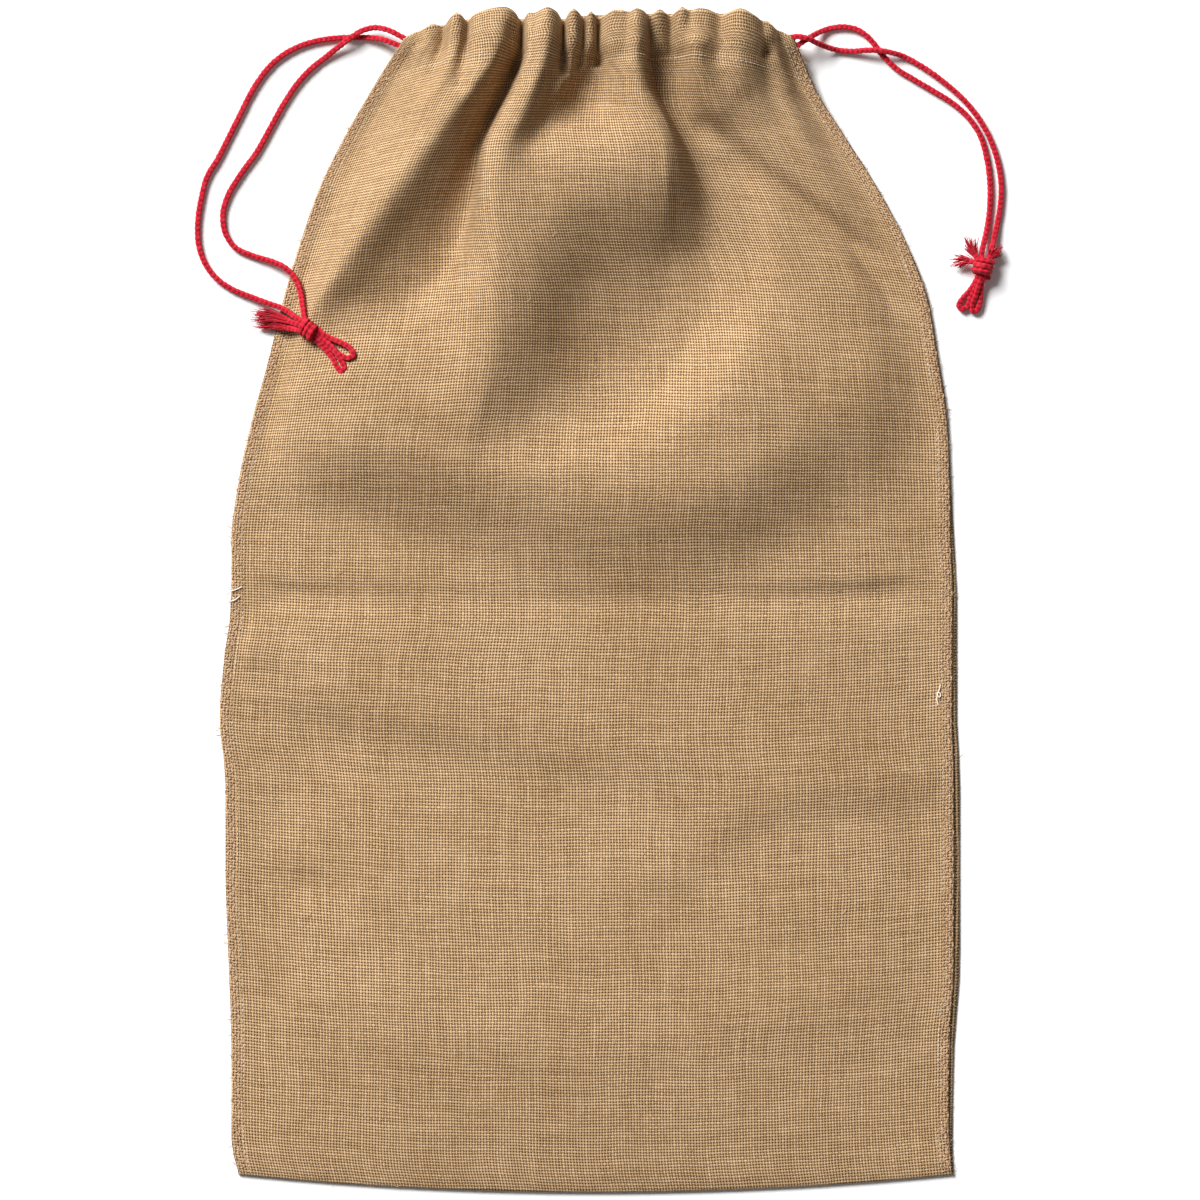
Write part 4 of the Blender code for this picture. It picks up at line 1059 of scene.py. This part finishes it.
def thread_finish(name, light, dark, sunk=None):
    """Thread of two shades, and of a third where it is sunk into the cloth."""
    made = Finish(name, 0.8, Specular_IOR_Level=0.25)
    spot = made.add("ShaderNodeTexCoord", out=3)
    colour = made.blend(made.ramp(made.noise(spot, THREAD_MOTTLES, 3.0), 0.35, 0.65), dark, light)
    if sunk:
        colour = made.blend(made.ramp(made.noise(spot, SUNK_STRETCHES), 0.44, 0.56), colour, sunk)
    made.colour(colour)
    return made.material


white_thread = thread_finish("white sewing thread", (0.92, 0.87, 0.78, 1), (0.80, 0.72, 0.60, 1))
pale_thread = thread_finish("pale sewing thread", (0.70, 0.62, 0.50, 1), (0.50, 0.41, 0.29, 1),
                            (0.50, 0.33, 0.18, 1))


def sewing_tree():
    tree = Tree("stitches along a line", Pitch=0.0034, Stitch_length=0.0030, Thickness=0.0007, Crooked=0.12,
                Seed=3, Material=pale_thread)
    line = tree.resampled("LENGTH", "Length", tree["Pitch"])
    bead = tree.add("GeometryNodeMeshUVSphere", {"Segments": 6, "Rings": 4, "Radius": 0.5})
    thin = tree.combine(tree["Stitch_length"], tree["Thickness"], tree["Thickness"])
    along = tree.add("FunctionNodeAlignRotationToVector", {"Vector": tree.add("GeometryNodeInputTangent")},
                     axis="X")
    skew = tree.times(tree.random(-1.0, 1.0, tree["Seed"]), tree["Crooked"])
    uneven = tree.scaled(tree.random(-1.0, 1.0, tree.plus(tree["Seed"], 1.0)), UNEVEN, 1.0)
    return tree.finish(tree.set_on(line, bead, tree.turned(along, 0, 0, skew), tree.stretched(thin, uneven)))


sewing = sewing_tree()
print("sewing tree takes", list(sewing.keys))

# %% Sew the side seams and the hem
STITCH_INSETS = {"left": 8.2, "right": 7.6}      # from the raw edge
STITCH_RISE = 0.1          # over the cloth
SEAM_PLACES = np.arange(14, 777, 6.0)            # up the sack


def side_line(side, edges, inset, height, rise):
    """Places along one side of the sack, `inset` in from its raw edge."""
    left_seam, right_seam = seam_lines(edges)
    x = left_seam - SEAM_ALLOWANCE + inset if side == "left" else right_seam + SEAM_ALLOWANCE - inset
    return np.column_stack((x, edges, height(x, edges) + rise))


stitch_lines = [side_line(side, SEAM_PLACES, inset, height, STITCH_RISE)
                for height in (front_height, back_height) for side, inset in STITCH_INSETS.items()]
for leaf, rise in ((FRONT, STITCH_RISE), (BACK, -STITCH_RISE)):
    hem_row, _, hem_out, _ = leaf_row(MOUTH - HEM_DEPTH, *leaf)
    sewn = hem_row + hem_out * (LAYER / 2 + rise)
    stitch_lines.append(sewn[ALLOWANCE_COLUMNS:-ALLOWANCE_COLUMNS])
stitches = sewing.follow(stitch_lines, "stitches", Material=pale_thread)
sewn_length = sum(length_of(line) for line in stitch_lines)
print("stitches:", triangles(stitches), "triangles on", round(sewn_length), "mm")

# %% [markdown]
# ## Overlocked edges
# A brownish thread wraps the raw edges, so that they don't fray. It shows as short strokes from the
# stitch line to the edge and back. The sewing tree lays it too, along a zigzag over each allowance.

# %% Overlock the raw edges
OVERLOCK_PITCH = 3.6       # from one zigzag to the next
OVERLOCK_NEAR, OVERLOCK_WIDTH = 0.5, 6.2         # from the raw edge
OVERLOCK_RISE = 0.15
overlock_thread = thread_finish("overlock thread", (0.62, 0.42, 0.29, 1), (0.44, 0.27, 0.17, 1))
overlock_places = np.arange(14, 775, OVERLOCK_PITCH / 2)
zigzag = np.where(np.arange(len(overlock_places)) % 2, OVERLOCK_NEAR, OVERLOCK_WIDTH)
overlock_lines = [side_line(side, overlock_places, zigzag, height, rise) for side in STITCH_INSETS
                  for height, rise in ((front_height, OVERLOCK_RISE), (back_height, -OVERLOCK_RISE))]
overlock = sewing.follow(overlock_lines, "overlock", Pitch=0.0033, Stitch_length=0.0034, Thickness=0.0007,
                         Seed=8, Material=overlock_thread)
print("overlock:", triangles(overlock), "triangles")

# %% [markdown]
# ## Loose threads
# A loop of white thread stands out of the left edge, and a knotted end lies on the right seam. Each
# is one thin line for the braid tree, laid on the front.

# %% Two loose thread ends
LOOSE_THREAD = 0.9         # thickness, and how high its middle lies over the cloth
THREAD_POINTS = 30
LOOSE_THREADS = (
    ((-236, 409), (-240.5, 407), (-244.5, 405.4), (-246.4, 402.4), (-244.6, 399.4), (-241, 400),
     (-237.5, 402.6)),
    ((236.2, 343), (235.4, 339.6), (234.2, 336.6), (235.2, 334.2), (236.4, 336), (235, 338), (233.8, 333.6),
     (234.6, 329.4)),
)
thread_lines = []
for path in LOOSE_THREADS:
    x, y = np.transpose(path)
    thread_lines.append(curve_through(np.column_stack((x, y, front_height(x, y) + LOOSE_THREAD)), THREAD_POINTS))
loose_threads = braid.follow(thread_lines, "loose_threads", Thickness=LOOSE_THREAD * MM, Sides=6,
                             Relief=0.0001, Material=white_thread)
print("loose threads:", triangles(loose_threads), "triangles")

# %% [markdown]
# ## Knots and frayed ends
# Each pair of strands ends in a slipped overhand knot: three turns of cord round the bundle, two
# small bights on one side of it and two or three frayed ends on the other. The turns and bights are
# more lines for the braid tree. A frayed end is a brush of thin cotton strands, which a second tree
# makes from one line: it copies the line many times, and moves each copy aside the more the nearer
# its tip is.

# %% The tree that frays an end
SHORTEST_STRAND = 0.62     # share of the line that the shortest strand keeps
LOWEST = 0.0004            # metres over the table


def fray_tree():
    tree = Tree("frayed end", Strands=64, Thickness=0.0006, Root=0.0015, Spread=0.0031, Waves=0.0018, Seed=5,
                Material=red_cotton)
    line = tree.resampled("COUNT", "Count", 9)
    copies = tree.add("GeometryNodeDuplicateElements", {0: line, "Amount": tree["Strands"]},
                      domain="SPLINE")
    number = copies.node.outputs[1]
    part = tree.add("GeometryNodeSplineParameter")
    left = tree.random(SHORTEST_STRAND, 1.0, tree["Seed"], number)
    copies = tree.add("GeometryNodeTrimCurve", {0: copies, "End": left})
    aside = tree.add("FunctionNodeRandomValue", {0: (-1, -1, -0.5), 1: (1, 1, 0.8), "ID": number,
                                                 "Seed": tree["Seed"]}, data_type="FLOAT_VECTOR")
    reach = tree.scaled(tree.maths("POWER", part, 1.3), tree["Spread"], tree["Root"])
    here = tree.add("GeometryNodeInputPosition")
    sway = tree.add("ShaderNodeTexNoise", {"Vector": tree.vector("ADD", here, aside), "Scale": 150.0,
                                           "Detail": 1.0}, 1)
    sway = tree.vector("SUBTRACT", sway, (0.5, 0.5, 0.5))
    wave = tree.stretched(sway, tree.times(part, tree["Waves"]))
    offset = tree.vector("ADD", tree.stretched(aside, reach), wave)
    copies = tree.add("GeometryNodeSetPosition", {0: copies, "Offset": offset})
    x, y, z = tree.add("ShaderNodeSeparateXYZ", {0: tree.add("GeometryNodeInputPosition")}).node.outputs
    level = tree.combine(x, y, tree.maths("MAXIMUM", z, LOWEST))
    copies = tree.add("GeometryNodeSetPosition", {0: copies, "Position": level})
    strands = tree.swept(copies, tree.ring(3, tree.times(tree["Thickness"], 0.5)))
    # Every strand gets the same middling level of the cotton's painted shade.
    return tree.finish(tree.store(strands, "plait", 0.5))


fray = fray_tree()
print("fray tree takes", list(fray.keys))

# %% Tie the two knots
KNOTS = {
    "knot_left": {
        "at": (-190, 582, 21.8), "bundle": (0.76, -0.6, 0.25), "ring": 4.3,
        "bights": (
            ((-190, 584, 21.8), (-183, 580.5, 21.6), (-175, 576.5, 22), (-167, 573, 23.6), (-161.5, 569, 25),
             (-160.2, 565.2, 25.6), (-163.5, 563.4, 25.2), (-170, 566, 23.8), (-178, 572, 22.4),
             (-186, 579, 21.8)),
            ((-190, 580, 21.8), (-184, 574, 20.8), (-178, 568, 21.6), (-173.5, 562, 22.9), (-171, 557, 23.8),
             (-168.4, 554.4, 24.5), (-166.2, 556.6, 24.9), (-168.4, 561.5, 24.4), (-173, 569, 23.4),
             (-182, 577, 22)),
        ),
        "ends": (
            ((-190, 583, 21.8), (-198, 586.2, 17), (-207, 589.4, 10), (-217, 592, 3.6), (-228, 593, 2.2)),
            ((-190, 581, 21.8), (-199, 582.6, 15.6), (-208, 584.8, 8.8), (-217, 586.6, 3.2), (-225, 587, 2)),
        ),
    },
    "knot_right": {
        "at": (264.7, 625, 8), "bundle": (-0.32, -0.947, 0), "ring": 5.2,
        "bights": (
            ((263, 625, 8), (260.6, 617, 6.6), (256, 609.4, 4.2), (250.8, 603.4, 2.9), (248.6, 599.4, 2.7),
             (250.4, 596.8, 2.7), (253.6, 598, 2.7), (256.6, 604, 3.4), (259.6, 611, 5.4), (263, 622, 8)),
            ((266, 625, 8), (264.4, 616, 6.4), (263.2, 608, 4.2), (262.6, 600.4, 2.9), (260.8, 596, 2.7),
             (258, 595.4, 2.7), (257.6, 599, 3.1), (260, 606.4, 5.4), (262.4, 614.6, 7.4), (266, 622, 8)),
        ),
        "ends": (
            ((264, 627, 9), (260.6, 631.6, 9.6), (257.8, 637, 8.4), (256.4, 642.6, 6.6)),
            ((263, 626, 8), (256.6, 629, 8), (251, 629.6, 6.2), (246, 628.4, 4.4)),
            ((266, 627, 9), (269, 631, 9), (272, 634.6, 7), (274.4, 637.6, 5)),
        ),
    },
}
WRAPS, WRAP_PITCH, WRAP_POINTS = 3, 3.61, 40
BUNDLE_HALF, BUNDLE_POINTS = 5.6, 12
BIGHT_POINTS = 60
END_POINTS, END_WHOLE = 40, 0.45       # points along an end, and the share of it that isn't frayed
FRAY_OVERLAP = 3                       # points of the whole end that the brush covers
FIRST_SEED, SEED_STEP = 5, 7           # for the first knot's brushes, and from knot to knot


def wrapping(at, bundle, ring):
    """The turns of cord round a knot's bundle, as one winding line."""
    along = np.asarray(bundle, float) / np.linalg.norm(bundle)
    side = np.cross((0, 0, 1), along)
    side /= np.linalg.norm(side)
    up = np.cross(along, side)
    turn = np.linspace(0, 2 * np.pi * WRAPS, WRAP_POINTS * WRAPS)
    run = (turn / (2 * np.pi) - WRAPS / 2) * WRAP_PITCH
    return (np.asarray(at) + along * run[:, None]
            + ring * (side * np.cos(turn)[:, None] + up * np.sin(turn)[:, None]))


def tie_knot(name, shape, seed):
    at, bundle = np.asarray(shape["at"], float), np.asarray(shape["bundle"], float)
    ends = [curve_through(end, END_POINTS) for end in shape["ends"]]
    cut = round(END_WHOLE * END_POINTS)
    bights = [curve_through(bight, BIGHT_POINTS) for bight in shape["bights"]]
    bundle_line = at + bundle * np.linspace(-BUNDLE_HALF, BUNDLE_HALF, BUNDLE_POINTS)[:, None]
    lines = [wrapping(at, bundle, shape["ring"]), *bights, *[end[:cut] for end in ends], bundle_line]
    tied = braid.follow(lines, f"{name} cord", Material=red_cotton)
    brushes = [fray.follow([end[cut - FRAY_OVERLAP:]], f"{name} brush", Seed=seed + number,
                           Material=red_cotton) for number, end in enumerate(ends)]
    made = one_mesh(f"red_{name}", [tied, *brushes])
    print(name, "has", triangles(made), "triangles")
    return made


knots = {name: tie_knot(name, shape, FIRST_SEED + SEED_STEP * number)
         for number, (name, shape) in enumerate(KNOTS.items())}

# %% [markdown]
# ## Loose fibres
# Jute is hairy. Fine fibres stand up all over the cloth, and short ends of thread stick out along the
# two raw edges. One tree grows a bent fibre on each of many small spots that it scatters. On the front
# and back it scatters them over the sheet itself, and at the raw edges over a thin strip along them.

# %% The tree that grows fibres
FIBRE_BEND = {1: (0, 0, 0), 2: (0.15, 0, 0.5), 3: (0.55, 0.1, 0.8)}   # its root, its bend and its tip
jute_fibre = thread_finish("loose jute fibre", (0.74, 0.55, 0.35, 1), (0.52, 0.35, 0.19, 1))


def fibre_tree():
    tree = Tree("loose fibres", Density=5200.0, Length=0.0055, Thickness=0.00016, Lean=1.25, Seed=11,
                Material=jute_fibre)
    seed = tree["Seed"]
    spots = tree.add("GeometryNodeDistributePointsOnFaces",
                     {0: tree.geometry, "Density": tree["Density"], "Seed": seed})
    arc = tree.add("GeometryNodeCurveQuadraticBezier", {"Resolution": 4, **FIBRE_BEND})
    fibre = tree.swept(arc, tree.ring(3, tree.maths("DIVIDE", tree["Thickness"], tree["Length"])))
    spin = tree.random(-math.pi, math.pi, seed)
    lean = tree.times(tree.random(0.5, 1.0, tree.plus(seed, 4.0)), tree["Lean"])
    way = tree.turned(tree.turned(spots.node.outputs["Rotation"], 0, 0, spin), 0, lean)
    long = tree.times(tree.random(0.35, 1.0, tree.plus(seed, 9.0)), tree["Length"])
    return tree.finish(tree.set_on(spots, fibre, way, long))


fibres = fibre_tree()
print("fibre tree takes", list(fibres.keys))

# %% Grow the fibres on the cloth and along its raw edges
STRIP_INSET, STRIP_WIDTH = 0.3, 0.8    # from the raw edge
STRIP_SINK = 0.8           # how far under the front's top it lies


def strip(line, width):
    """A thin flat strip along a line, for a tree to scatter on."""
    side = np.array((width / 2, 0, 0))
    count = len(line)
    mesh = bpy.data.meshes.new("raw edge")
    mesh.from_pydata(place(np.concatenate((line - side, line + side))).tolist(), [],
                     [(k, k + count, k + count + 1, k + 1) for k in range(count - 1)])
    return put("raw edge", mesh)


hairs = fibres.use(cloth_sheet(cloth_points)[0], "cloth hairs", Material=jute_fibre)
edge_hairs = []
for height, rise in ((front_height, -STRIP_SINK), (back_height, 0.0)):
    for side in STITCH_INSETS:
        edge = side_line(side, SEAM_PLACES, STRIP_INSET, height, rise)
        edge_hairs.append(fibres.use(strip(edge, STRIP_WIDTH), "edge hairs", Density=520000.0, Length=0.0042,
                                     Thickness=0.0002, Lean=1.5, Material=jute_fibre))
fuzz = one_mesh("jute_fuzz", [hairs, *edge_hairs])
print("fuzz:", triangles(fuzz), "triangles")

pieces = {"sack": sack_cloth, **cords, **knots}
for node, made in pieces.items():
    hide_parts(node)
    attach(made, "root")
for made in (stitches, overlock, loose_threads, fuzz):
    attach(made, "root")
for name, made in cords.items():
    line = cord_lines[name]
